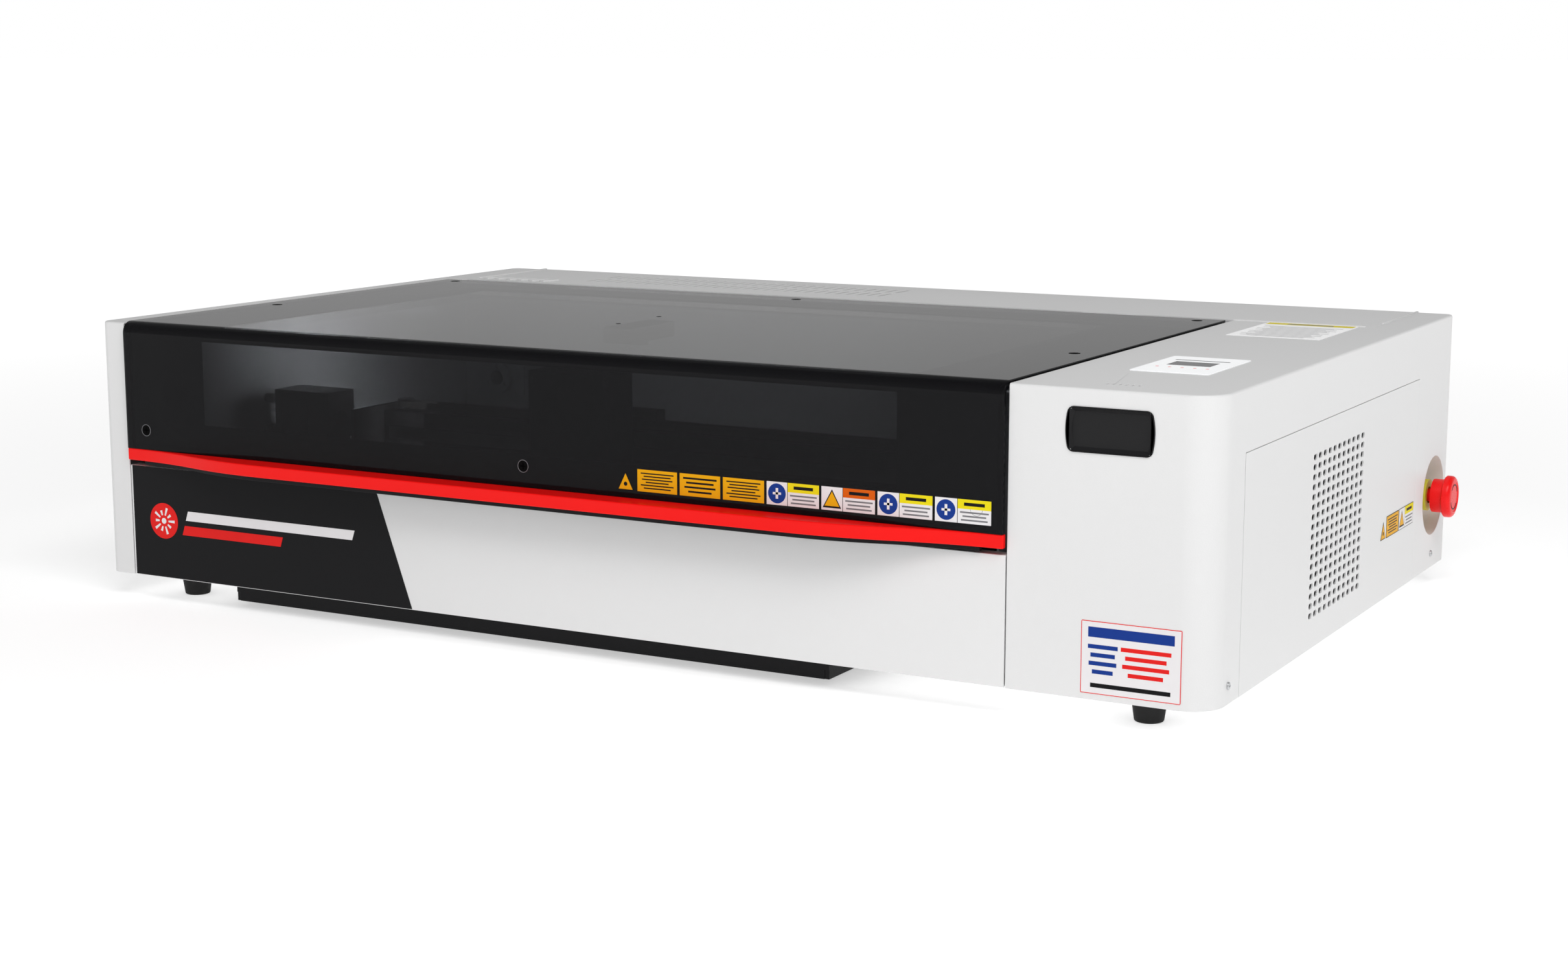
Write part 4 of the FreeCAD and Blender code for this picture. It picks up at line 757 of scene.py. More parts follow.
# ---- sub-assemblies -----------------------------------------------------------------------
@dataclass
class SubAssembly:
    """What every sub-assembly can do with the frame."""

    frame: dict

    def dress(self, finish: Finish, *nodes: str) -> None:
        """Gives CAD nodes a finish.

        Args:
            finish: the finish.
            *nodes: the nodes' names.
        """
        for name in nodes:
            node = self.frame["nodes"][name]
            node.data.materials.clear()
            node.data.materials.append(Paintshop.material(finish))
            log.info("dressed %s in %s", name, finish.name.lower())

    def piece(self, name: str, solid: Solid, finishes: Sequence[Finish], body: str,
              replaces: Sequence[str] = (), slot: str | None = None) -> bpy.types.Object:
        """Makes a finished solid a piece of the machine.

        Args:
            name: the piece's name.
            solid: its mesh, which is used up.
            finishes: its finishes, in the order of its faces' numbers.
            body: the CAD body that it rides on.
            replaces: the CAD nodes that it stands for.
            slot: not used.

        Returns:
            The piece.
        """
        mesh = bpy.data.meshes.new(name)
        solid.bm.to_mesh(mesh)
        solid.bm.free()
        for finish in finishes:
            mesh.materials.append(Paintshop.material(finish))
        mesh.shade_smooth()
        mesh.set_sharp_from_angle(angle=SMOOTH_ANGLE)
        made = bpy.data.objects.new(name, mesh)
        bpy.context.scene.collection.objects.link(made)
        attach(made, body)
        if replaces:
            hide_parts(*replaces)
        log.info("made %s on %s, %d faces", name, body, len(mesh.polygons))
        return made

    def skin(self, node: str, finish: Finish, width: float = 0.3 * MM, segments: int = 2) -> bpy.types.Object:
        """A finished stand-in for a CAD node: its merged mesh with softened edges.

        Args:
            node: the CAD node's name.
            finish: the finish.
            width: the width of the rounding at its sharp edges.
            segments: the rounding's segments.

        Returns:
            The piece.
        """
        source = self.frame["nodes"][node]
        bm = bmesh.new()
        bm.from_mesh(source.data)
        bmesh.ops.remove_doubles(bm, verts=bm.verts, dist=MERGE_GAP)
        bmesh.ops.dissolve_limit(bm, angle_limit=FLAT_ANGLE, use_dissolve_boundaries=False, verts=bm.verts,
                                 edges=bm.edges, delimit={"NORMAL"})
        for face in bm.faces:
            face.material_index = 0
        made = self.piece(node + "_skin", Solid(bm), [finish], source["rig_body"], [node])
        rounding = made.modifiers.new("rounding", "BEVEL")
        rounding.width = width
        rounding.segments = segments
        rounding.limit_method = "ANGLE"
        rounding.angle_limit = SMOOTH_ANGLE
        rounding.use_clamp_overlap = False
        rounding.miter_outer = "MITER_ARC"
        evener = made.modifiers.new("evener", "WEIGHTED_NORMAL")
        evener.keep_sharp = True
        return made


@dataclass
class Mark:
    """One printed shape on a plate, in the plate's own plane."""

    kind: str
    x: float
    y: float
    width: float
    height: float
    paint: int

    def solid(self, rise: float) -> Solid:
        """The mark as a thin raised solid standing on the plate.

        Args:
            rise: its thickness.

        Returns:
            The mark.
        """
        if self.kind == "disc":
            return Solid.rod(self.width / 2, rise, sides=40).at(self.x, self.y, 0).painted(self.paint)
        if self.kind == "triangle":
            half = self.width / 2
            outline = [(self.x - half, self.y - self.height / 2), (self.x + half, self.y - self.height / 2),
                       (self.x, self.y + self.height / 2)]
            return Solid.prism(outline, rise).painted(self.paint)
        low = (self.x - self.width / 2, self.y - self.height / 2, 0)
        high = (self.x + self.width / 2, self.y + self.height / 2, rise)
        return Solid.box(low, high).painted(self.paint)


@dataclass
class Plate(SubAssembly):
    """A thin printed plate without lettering: a ground, and marks stacked on it."""

    thick: float = 0.2 * MM
    layer: float = 0.03 * MM

    def bars(self, x: float, y: float, width: float, height: float, rows: int, paint: int,
             weight: float = 0.42) -> list[Mark]:
        """Rows of plain bars of uneven length that fill an area.

        Args:
            x: the area's centre across.
            y: the area's centre upwards.
            width: the area's width.
            height: the area's height.
            rows: the number of bars.
            paint: the number of their finish.
            weight: a bar's height, as a share of a row.

        Returns:
            The marks.
        """
        pitch = height / rows
        marks = []
        for row in range(rows):
            length = width * (1.0, 0.82, 0.93, 0.7)[row % 4]
            place = y + height / 2 - pitch * (row + 0.5)
            marks.append(Mark("bar", x, place, length, pitch * weight, paint))
        return marks

    def stick(self, name: str, facing: Facing, centre: Triple, size: tuple[float, float],
              layers: list[list[Mark]], finishes: Sequence[Finish], body: str,
              ground: Solid | None = None) -> bpy.types.Object:
        """Builds the plate on a face of the machine.

        Args:
            name: the piece's name.
            facing: the way it looks.
            centre: its centre on the face.
            size: its width and height.
            layers: marks, layer by layer.
            finishes: the ground's finish first, then those the marks name.
            body: the CAD body.
            ground: the ground's own shape, if it isn't a rectangle.

        Returns:
            The piece.
        """
        width, height = size
        if ground is None:
            ground = Solid.box((-width / 2, -height / 2, 0), (width / 2, height / 2, self.thick))
            ground.soften_upright(0.8 * MM, 3)
        prints = []
        for number, marks in enumerate(layers):
            level = self.thick + self.layer * number
            prints += [mark.solid(self.layer).at(0, 0, level) for mark in marks]
        solid = ground.joined(prints).moved(facing.frame_at(centre))
        return self.piece(name, solid, finishes, body)


@dataclass
class NoticePlates(Plate):
    """The plates on the lid's front, the housing and the side, all with plain bars for text."""

    height: float = 20.0 * MM
    amber_width: float = 40.0 * MM
    notice_width: float = 49.0 * MM
    triangle: float = 16.0 * MM
    strip_x: float = 18.2 * MM
    strip_z: float = 151.0 * MM
    side_y: float = 110.0 * MM
    side_z: float = 79.0 * MM
    gap: float = 1.2 * MM
    sign_gap: float = 3.0 * MM
    sign_drop: float = 1.5 * MM
    amber_rim: float = 1.4 * MM
    notice_rim: float = 0.5 * MM
    amber_finishes: tuple[Finish, ...] = (Finish.PRINT_BLACK, Finish.PRINT_AMBER)

    def amber(self, name: str, facing: Facing, centre: Triple, body: str, rows: int) -> None:
        """Amber plate with a black border and bars.

        Args:
            name: the piece's name.
            facing: the way it looks.
            centre: its centre on the face.
            body: the CAD body.
            rows: the number of bars.
        """
        rim = self.amber_rim
        width, height = self.amber_width, self.height
        layers = [[Mark("bar", 0, 0, width - rim, height - rim, 1)],
                  self.bars(0, 0, width * 0.8, height * 0.74, rows, 0)]
        self.stick(name, facing, centre, (width, height), layers, self.amber_finishes, body)

    def sign(self, name: str, facing: Facing, centre: Triple, body: str) -> None:
        """Small amber triangle with a black border and a dot.

        Args:
            name: the piece's name.
            facing: the way it looks.
            centre: its centre on the face.
            body: the CAD body.
        """
        size = self.triangle
        border = [(-size / 2, -size / 2), (size / 2, -size / 2), (0, size / 2)]
        ground = Solid.prism(border, self.thick)
        layers = [[Mark("triangle", 0, -size * 0.03, size * 0.86, size * 0.84, 1)],
                  [Mark("disc", 0, -size * 0.16, size * 0.22, 0, 0)]]
        self.stick(name, facing, centre, (size, size), layers, self.amber_finishes, body, ground)

    def notice(self, name: str, facing: Facing, centre: Triple, body: str, header: Finish,
               roundel: bool) -> None:
        """White plate: a roundel or triangle in its left square, a coloured header and bars.

        Args:
            name: the piece's name.
            facing: the way it looks.
            centre: its centre on the face.
            body: the CAD body.
            header: the header's finish.
            roundel: whether its square holds a roundel.
        """
        width, height = self.notice_width, self.height
        rim = self.notice_rim
        square = height - 2 * rim
        left = -width / 2 + rim + square / 2
        room = width - square - 3 * rim
        right = width / 2 - rim - room / 2
        band = square * 0.4
        base = [Mark("bar", left, 0, square, square, 1), Mark("bar", right, 0, room, square, 1)]
        over = [Mark("bar", right, height / 2 - rim - band / 2, room, band, 2)]
        over += self.bars(right, -band / 2, room * 0.86, (square - band) * 0.8, 3, 3)
        if roundel:
            over.append(Mark("disc", left, 0, square * 0.86, 0, 4))
            top = [Mark("bar", left, 0, square * 0.12, square * 0.46, 1),
                   Mark("bar", left, 0, square * 0.4, square * 0.1, 1)]
        else:
            over.append(Mark("triangle", left, 0, square * 0.88, square * 0.8, 0))
            top = [Mark("triangle", left, -0.2 * MM, square * 0.7, square * 0.62, 5)]
        top.append(Mark("bar", right, height / 2 - rim - band / 2, room * 0.62, band * 0.34, 0))
        finishes = (Finish.PRINT_BLACK, Finish.PRINT_WHITE, header, Finish.PRINT_GREY, Finish.PRINT_BLUE,
                    Finish.PRINT_AMBER)
        self.stick(name, facing, centre, (width, height), [base, over, top], finishes, body)

    def build(self) -> None:
        """Sticks every notice plate."""
        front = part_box("lid_shell")[0].y
        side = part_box("access_panel")[1].x
        z = self.strip_z + self.height / 2
        x = self.strip_x + self.triangle / 2
        self.sign("lid_sign", Facing.FRONT, (x, front, z - self.sign_drop), "lid")
        x += self.triangle / 2 + self.sign_gap
        for index, rows in enumerate((6, 4, 6)):
            centre = (x + self.amber_width / 2, front, z)
            self.amber(f"lid_amber_plate_{index}", Facing.FRONT, centre, "lid", rows)
            x += self.amber_width + self.gap
        kinds = ((Finish.PRINT_YELLOW, True), (Finish.PRINT_ORANGE, False), (Finish.PRINT_YELLOW, True),
                 (Finish.PRINT_YELLOW, True))
        for index, (header, roundel) in enumerate(kinds):
            centre = (x + self.notice_width / 2, front, z)
            self.notice(f"lid_notice_{index}", Facing.FRONT, centre, "lid", header, roundel)
            x += self.notice_width + self.gap
        z = self.side_z + self.height / 2
        sign_y = self.side_y + self.sign_gap
        self.sign("side_sign", Facing.RIGHT, (side, sign_y, z - self.sign_drop), "chassis")
        y = self.side_y + self.triangle / 2 + 5 * MM
        self.amber("side_amber_plate", Facing.RIGHT, (side, y + self.amber_width / 2, z), "chassis", 6)
        y += self.amber_width + self.gap
        self.notice("side_notice", Facing.RIGHT, (side, y + self.notice_width / 2, z), "chassis",
                    Finish.PRINT_YELLOW, False)


@dataclass
class RatingPlates(Plate):
    """The larger plates: one on the housing's front and one on its top."""

    front_size: tuple[float, float] = (81.0 * MM, 57.0 * MM)
    front_place: tuple[float, float] = (475.2 * MM, 56.5 * MM)
    top_size: tuple[float, float] = (86.0 * MM, 122.0 * MM)
    top_place: tuple[float, float] = (449.6 * MM, 117.0 * MM)

    def build(self) -> None:
        """Sticks both plates."""
        low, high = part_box("right_housing")
        width, height = self.front_size
        rim = 1.2 * MM
        base = [Mark("bar", 0, 0, width - rim, height - rim, 1)]
        column = width * 0.30
        over = [Mark("bar", 0, height * 0.35, width * 0.86, height * 0.14, 2)]
        over += self.bars(-width * 0.28, -height * 0.02, column, height * 0.46, 4, 3, 0.5)
        over += self.bars(width * 0.15, -height * 0.02, width * 0.5, height * 0.46, 4, 4, 0.5)
        over += self.bars(0, -height * 0.38, width * 0.8, height * 0.10, 1, 5, 0.6)
        finishes = (Finish.PRINT_RED, Finish.PRINT_WHITE, Finish.PRINT_BLUE, Finish.PRINT_BLUE,
                    Finish.PRINT_RED, Finish.PRINT_BLACK)
        centre = (self.front_place[0], low.y, self.front_place[1])
        self.stick("rating_plate", Facing.FRONT, centre, self.front_size, [base, over], finishes, "chassis")

        width, height = self.top_size
        band = height * 0.11
        over = [Mark("bar", 0, height / 2 - band * 0.62, width * 0.96, band, 1),
                Mark("bar", 0, height / 2 - band * 1.4, width * 0.96, 0.4 * MM, 2)]
        over += self.bars(0, -band * 0.8, width * 0.86, height - band * 2.4, 16, 2, 0.26)
        top = [Mark("bar", 0, height / 2 - band * 0.62, width * 0.5, band * 0.4, 2)]
        # the top plate's laminate ground carries a painted glow
        finishes = (Finish.LAMINATE, Finish.PRINT_YELLOW, Finish.PRINT_GREY)
        centre = (self.top_place[0], self.top_place[1], high.z)
        self.stick("top_plate", Facing.TOP, centre, self.top_size, [over, top], finishes, "chassis")


@dataclass
class Case(SubAssembly):
    """Sheet-metal cabinet, its feet and its outside screws."""

    edge: float = 0.35 * MM
    bar_count: int = 6
    bar_pitch: float = 15.0 * MM
    bar_size: tuple[float, float, float] = (8.0 * MM, 22.0 * MM, 1.6 * MM)
    hem: tuple[float, float] = (2.0 * MM, 1.2 * MM)
    front_hem_rise: float = 1.0 * MM
    bar_slant: float = math.radians(18)
    bar_margin: tuple[float, float] = (22.0 * MM, 30.0 * MM)
    rear_screw_radius: float = 3.2 * MM
    rear_screw_columns: int = 5

    def raised_bars(self) -> None:
        """Plain slanted bars raised on the cover's left front corner."""
        low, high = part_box("rear_cover")
        width, length, rise = self.bar_size
        bar = Solid.box((-width / 2, -length / 2, 0), (width / 2, length / 2, rise)).soften(0.15 * MM)
        lean = Matrix.Rotation(-self.bar_slant, 4, "Z")
        start = Vector((low.x + self.bar_margin[0], low.y + self.bar_margin[1], high.z))
        places = [Matrix.Translation(start + Vector((self.bar_pitch * index, 0, 0))) @ lean
                  for index in range(self.bar_count)]
        self.piece("cover_bars", bar.copies(places), [Finish.WHITE_PAINT], "chassis")

    def hems(self) -> None:
        """Folded edges of the rear cover: along its front and at both sides."""
        low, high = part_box("rear_cover")
        wide, rise = self.hem
        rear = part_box("rear_panel")[1].y
        side_start = low.y + 24 * MM
        foot = high.z - 0.5 * MM
        front_low = (low.x + 8 * MM, low.y - 0.3 * MM, high.z - 1.5 * MM)
        front_high = (high.x - 8 * MM, low.y + 1.0 * MM, high.z + self.front_hem_rise)
        strips = [Solid.box(front_low, front_high)]
        for x, y in ((low.x + 6 * MM, side_start), (high.x - 1 * MM - wide, side_start + 10 * MM)):
            strips.append(Solid.box((x, y, foot), (x + wide, rear, high.z + rise)))
        for strip in strips:
            strip.soften(0.25 * MM)
        self.piece("cover_hems", Solid().joined(strips), [Finish.WHITE_PAINT], "chassis")

    def rear_screws(self) -> None:
        """Pan-head screws along the rear panel's top and bottom."""
        low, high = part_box("rear_panel")
        radius = self.rear_screw_radius
        head = Solid.lathe([(0, 1.5 * MM), (radius * 0.45, 1.45 * MM), (radius * 0.85, 1.1 * MM),
                            (radius, 0.5 * MM), (radius, 0), (0, 0)], 24)
        # the driver slot is a thin black bar on the head: painted shade standing in for the dark recess
        half, wide = radius * 0.55, radius * 0.1
        head.joined([Solid.box((-half, -wide, 1.35 * MM), (half, wide, 1.52 * MM)).painted(1)])
        places = []
        for row in (low.z + 12 * MM, high.z - 24 * MM):
            for column in range(self.rear_screw_columns):
                share = (column + 0.3) / (self.rear_screw_columns - 0.4)
                spot = (low.x + (high.x - low.x) * share, high.y, row)
                places.append(Facing.REAR.frame_at(spot))
        self.piece("rear_panel_screws", head.copies(places), [Finish.STEEL, Finish.PRINT_BLACK], "chassis")

    def build(self) -> None:
        """Dresses the cabinet."""
        for node in ("left_side_panel", "right_housing", "rear_cover"):
            self.skin(node, Finish.WHITE_PAINT, self.edge)
        self.dress(Finish.WHITE_PAINT, "access_panel", "rear_panel", "base_pan")
        self.dress(Finish.RUBBER, "feet")
        self.dress(Finish.STEEL, "housing_screws")
        self.raised_bars()
        self.hems()
        self.rear_screws()


@dataclass
class Controls(SubAssembly):
    """Touch screen, front insert, emergency stop and mains inlet."""

    head_ribs: int = 28
    head_bend: float = 4.0 * MM
    head_chamfer: float = 1.4 * MM
    head_dish: float = 1.2 * MM
    rib_radius: float = 0.7 * MM
    arc_radius: float = 11.6 * MM
    arc_sweep: float = math.radians(120)
    pin_size: tuple[float, float, float] = (2.0 * MM, 4.0 * MM, 12.0 * MM)

    def touch_screen(self) -> None:
        """Lit cover glass with a few plain blocks."""
        low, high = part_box("screen_glass")
        width, height = high.x - low.x, high.y - low.y
        ground = Solid.box((-width / 2, -height / 2, 0), (width / 2, height / 2, high.z - low.z))
        ground.soften_upright(1.5 * MM, 4).soften(0.15 * MM, 1)
        rise = 0.02 * MM
        marks = [Mark("bar", 0, height * 0.05, width * 0.56, height * 0.24, 1),
                 Mark("bar", 0, height * 0.27, width * 0.7, height * 0.035, 3)]
        marks += [Mark("disc", width * 0.16 * i, -height * 0.2, width * 0.045, 0, 2) for i in range(-2, 3)]
        prints = [mark.solid(rise).at(0, 0, high.z - low.z) for mark in marks]
        centre = ((low.x + high.x) / 2, (low.y + high.y) / 2, low.z)
        finishes = (Finish.SCREEN_GLASS, Finish.SCREEN_DARK, Finish.SCREEN_RED, Finish.PRINT_GREY)
        solid = ground.joined(prints).at(*centre)
        self.piece("touch_screen", solid, finishes, "chassis", ["screen_glass"])

    def stop_profile(self, radius: float, tall: float) -> list[tuple[float, float]]:
        """Outline of the stop button's head: straight rim, rounded shoulder and dished front.

        Args:
            radius: the head's radius.
            tall: its height.

        Returns:
            Points of (radius, height).
        """
        shoulder = tall - self.head_bend - 0.4 * MM
        profile = [(0, 0), (radius * 0.8, 0), (radius * 0.95, 0.4 * MM), (radius, self.head_chamfer),
                   (radius, shoulder)]
        for step in range(1, 9):
            angle = math.radians(90 * step / 8)
            across = radius - self.head_bend * (1 - math.cos(angle))
            profile.append((across, shoulder + self.head_bend * math.sin(angle)))
        rim = radius - self.head_bend - self.head_chamfer
        dish = rim - self.head_dish
        return profile + [(rim, tall - 0.1 * MM), (dish, tall - 0.9 * MM), (0, tall - 0.7 * MM)]

    def stop_arc(self, level: float, start: float) -> Solid:
        """One raised arc in the head's dished front.

        Args:
            level: the height of its foot.
            start: the angle at which it starts, in degrees.

        Returns:
            The arc.
        """
        arc = Solid()
        inner, outer = self.arc_radius - 0.5 * MM, self.arc_radius + 0.5 * MM
        top = level + 0.55 * MM
        corners_of = ((inner, level), (outer, level), (outer, top), (inner, top))
        face = arc.bm.faces.new([arc.bm.verts.new((x, 0, z)) for x, z in corners_of])
        bmesh.ops.spin(arc.bm, geom=[face, *face.edges, *face.verts], cent=(0, 0, 0), axis=(0, 0, 1),
                       dvec=(0, 0, 0), angle=self.arc_sweep, steps=24, use_duplicate=False)
        bmesh.ops.recalc_face_normals(arc.bm, faces=arc.bm.faces)
        return arc.moved(Matrix.Rotation(math.radians(start), 4, "Z")).painted(1)

    def stop_head(self) -> None:
        """Mushroom head: turned body, grip ribs round its rim and two arcs in its dished front."""
        low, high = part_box("estop_head")
        radius = (high.y - low.y) / 2
        tall = high.x - low.x
        head = Solid.lathe(self.stop_profile(radius, tall), 84)
        rib = Solid.rod(self.rib_radius, tall - self.head_bend - self.head_chamfer, sides=10)
        rib.soften(0.2 * MM, 1)
        stand = Matrix.Translation((radius - self.rib_radius * 1.02, 0, 1.2 * MM))
        turn = math.tau / self.head_ribs
        places = [Matrix.Rotation(turn * index, 4, "Z") @ stand for index in range(self.head_ribs)]
        arcs = [self.stop_arc(tall - self.head_dish, start) for start in (20, 200)]
        head.joined([rib.copies(places), *arcs])
        centre = (low.x, (low.y + high.y) / 2, (low.z + high.z) / 2)
        head.moved(Facing.RIGHT.frame_at(centre))
        finishes = (Finish.RED_PLASTIC, Finish.PRINT_BLACK)
        self.piece("stop_button_head", head, finishes, "estop_head", ["estop_head"])

    def inlet_pins(self) -> None:
        """Three flat pins in the mains inlet."""
        low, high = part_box("power_inlet")
        x = (low.x + high.x) / 2
        wide, tall, long = self.pin_size
        pin = Solid.box((-wide / 2, -tall / 2, 0), (wide / 2, tall / 2, long)).soften(0.4 * MM)
        socket_z = 61 * MM
        spots = ((x - 7 * MM, socket_z - 1 * MM), (x, socket_z + 3 * MM), (x + 7 * MM, socket_z - 1 * MM))
        places = [Facing.REAR.frame_at((px, high.y - 18.2 * MM, pz)) for px, pz in spots]
        self.piece("inlet_pins", pin.copies(places), [Finish.BRASS_PIN], "chassis", slot="steel")

    def build(self) -> None:
        """Dresses the controls."""
        self.touch_screen()
        self.stop_head()
        self.inlet_pins()
        self.skin("front_insert", Finish.BLACK_PLASTIC, 0.25 * MM)
        self.dress(Finish.BLACK_PLASTIC, "screen_housing", "power_inlet")
        self.dress(Finish.YELLOW_PLASTIC, "estop_collar")
        self.dress(Finish.RED_PLASTIC, "estop_plunger", "power_rocker")


@dataclass
class Lid(SubAssembly):
    """Smoked lid sheet with its black printed border, frame, screws and red handle."""

    stile: float = 93.0 * MM
    side_margin: float = 6.5 * MM
    sheet: float = 4.0 * MM
    film: float = 0.25 * MM
    bend: float = 11.0 * MM
    window_low: float = 172.5 * MM
    window_high: float = 250.0 * MM
    top_front: float = 24.0 * MM
    top_rear: float = 62.0 * MM
    # size of the grey rings that paint the highlight on the chamfer round each front screw
    highlight_ring_radius: float = 5.3 * MM
    highlight_ring_wire: float = 0.28 * MM
    screw_z: float = 163.5 * MM
    screw_xs: tuple[float, ...] = (-504.6 * MM, -77.6 * MM, 347.4 * MM)
    camera_screws: tuple[tuple[float, float], ...] = ((-112.6 * MM, -137.4 * MM), (-112.6 * MM, -66.0 * MM))

    def border(self) -> None:
        """Black border printed behind the sheet, open at the front and top windows."""
        low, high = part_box("lid_shell")
        depth = self.sheet - 0.35 * MM
        y_front, z_top = low.y + depth, high.z - depth
        x0, x1 = low.x + self.side_margin, high.x - self.side_margin
        wx0, wx1 = low.x + self.stile, high.x - self.stile
        reach = self.bend - depth
        rows = [(y_front, low.z + 0.4 * MM), (y_front, self.window_low), (y_front, self.window_high),
                (y_front, z_top - reach)]
        for step in range(1, 9):
            angle = math.radians(90 * step / 8)
            rows.append((y_front + reach * (1 - math.cos(angle)), z_top - reach + reach * math.sin(angle)))
        rows += [(low.y + self.top_front, z_top), (high.y - self.top_rear, z_top), (high.y - 0.4 * MM, z_top)]
        film = Solid()
        start = [film.bm.verts.new((x, *rows[0])) for x in (x0, wx0, wx1, x1)]
        edges = [film.bm.edges.new(pair) for pair in zip(start, start[1:])]
        openings = {1, len(rows) - 3}
        for number, (before, after) in enumerate(zip(rows, rows[1:])):
            grown = bmesh.ops.extrude_edge_only(film.bm, edges=edges)["geom"]
            fresh = [item for item in grown if isinstance(item, bmesh.types.BMVert)]
            bmesh.ops.translate(film.bm, vec=(0, after[0] - before[0], after[1] - before[1]), verts=fresh)
            edges = [item for item in grown if isinstance(item, bmesh.types.BMEdge) and
                     all(vert in fresh for vert in item.verts)]
            if number in openings:
                middle = (wx0 + wx1) / 2
                hole = [face for edge in edges for face in edge.link_faces
                        if abs(face.calc_center_median().x - middle) < 10 * MM]
                bmesh.ops.delete(film.bm, geom=hole, context="FACES_ONLY")
        bmesh.ops.recalc_face_normals(film.bm, faces=film.bm.faces)
        made = self.piece("lid_border_film", film, [Finish.ACCENT_FILM], "lid")
        wall = made.modifiers.new("thickness", "SOLIDIFY")
        wall.thickness = self.film
        wall.offset = 0.0

    def camera_heads(self) -> None:
        """Small black screw heads over the camera's housing."""
        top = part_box("lid_shell")[1].z
        radius = 2.6 * MM
        head = Solid.lathe([(0, 0.3 * MM), (radius * 0.8, 0.25 * MM), (radius, 0), (0, 0)], 20)
        places = [Matrix.Translation((x, y, top)) for x, y in self.camera_screws]
        self.piece("lid_camera_screws", head.copies(places), [Finish.BLACK_ANODISED], "lid")

    def screw_highlight_rings(self) -> None:
        """Grey ring round each front screw: a painted highlight where the sheet's chamfer catches the light.
        """
        low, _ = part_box("lid_shell")
        ring = Solid.ring(self.highlight_ring_radius, self.highlight_ring_wire, 40, 6)
        places = [Facing.FRONT.frame_at((x, low.y, self.screw_z)) for x in self.screw_xs]
        self.piece("lid_screw_rings", ring.copies(places), [Finish.PRINT_GREY], "lid")

    def build(self) -> None:
        """Dresses the lid."""
        self.screw_highlight_rings()
        self.skin("lid_shell", Finish.SMOKED_ACRYLIC, 0.4 * MM, 3)
        self.border()
        self.camera_heads()
        self.skin("lid_handle", Finish.RED_PAINT, 0.9 * MM, 3)
        self.skin("handle_lip", Finish.BLACK_PAINT, 0.4 * MM)
        self.dress(Finish.BLACK_PAINT, "lid_frame")
        self.dress(Finish.BLACK_OXIDE, "lid_screws")
        self.dress(Finish.BLACK_PLASTIC, "lid_camera")
        self.dress(Finish.STEEL, "hinge_arms", "hinge_leaves")


@dataclass
class FrontDoor(Plate):
    """Drop-down front door with its black field and a plain emblem."""

    emblem_x: float = 37.0 * MM
    emblem_z: float = 78.0 * MM
    disc_radius: float = 17.0 * MM
    ray_count: int = 10
    ray: tuple[float, float, float] = (5.5 * MM, 13.0 * MM, 2.6 * MM)
    stripe: tuple[float, float] = (196.0 * MM, 9.0 * MM)
    face_depth: float = 1.1 * MM
    sheet: float = 1.5 * MM
    notch: tuple[float, float] = (15.0 * MM, 6.8 * MM)
    slot_span: tuple[float, float] = (4.0 * MM, 18.0 * MM)
    slot_drop: tuple[float, float] = (4.2 * MM, 2.8 * MM)

    def face(self) -> None:
        """Plain outer face of the door, and the black field's parts at the left corners."""
        low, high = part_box("front_door")
        plate = Solid.box((low.x, low.y - 0.05 * MM, low.z), (high.x, low.y + self.face_depth, high.z))
        self.piece("door_face", plate.soften(0.5 * MM, 3), [Finish.WHITE_PAINT], "front_door")
        field_low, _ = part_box("front_door_accent")
        wide, tall = self.notch
        near, far = self.slot_span
        down, up = self.slot_drop
        parts = [Solid.box((field_low.x, field_low.y, field_low.z), (low.x + wide, low.y, low.z + tall)),
                 Solid.box((low.x + near, field_low.y, high.z - down), (low.x + far, low.y, high.z - up))]
        self.piece("door_field_corners", Solid().joined(parts), [Finish.ACCENT_FILM], "front_door")

    def emblem(self) -> None:
        """A disc with a ring of rays beside two slanted stripes, raised on the black field."""
        low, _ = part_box("front_door_accent")
        inner, outer, width = self.ray
        bits = [Solid.rod(self.disc_radius, self.thick, sides=64).painted(1)]
        for index in range(self.ray_count):
            reach = outer if index % 2 == 0 else outer * 0.78
            outline = [(inner, -width * 0.3), (reach, -width / 2), (reach, width / 2), (inner, width * 0.3)]
            ray = Solid.prism(outline, self.layer * 2).at(0, 0, self.thick)
            bits.append(ray.moved(Matrix.Rotation(math.tau * index / self.ray_count, 4, "Z")))
        bits.append(Solid.rod(2.8 * MM, self.layer * 2, sides=32).at(0, 0, self.thick))
        long, tall = self.stripe
        slant = tall * 0.34
        for number, share in enumerate((1.0, 0.6)):
            y = 11.5 * MM - number * 14.0 * MM
            x = self.disc_radius + 13.0 * MM - slant * number * 1.5
            end = x + long * share
            outline = [(x, y), (end, y), (end - slant, y - tall), (x - slant, y - tall)]
            bits.append(Solid.prism(outline, self.thick).painted(number))
        solid = Solid().joined(bits)
        solid.moved(Facing.FRONT.frame_at((low.x + self.emblem_x, low.y, self.emblem_z)))
        self.piece("door_emblem", solid, [Finish.PRINT_WHITE, Finish.PRINT_RED], "front_door")

    def build(self) -> None:
        """Dresses the door."""
        self.skin("front_door", Finish.WHITE_PAINT, 0.5 * MM, 3)
        self.dress(Finish.ACCENT_FILM, "front_door_accent")
        self.dress(Finish.STEEL, "door_pivots")
        self.face()
        self.emblem()


@dataclass
class CrumbDrawer(SubAssembly):
    """Crumb tray and its rails."""

    def build(self) -> None:
        """Dresses the tray."""
        self.skin("crumb_tray", Finish.BLACK_PAINT, 0.3 * MM)
        self.dress(Finish.BLACK_PAINT, "tray_rails")


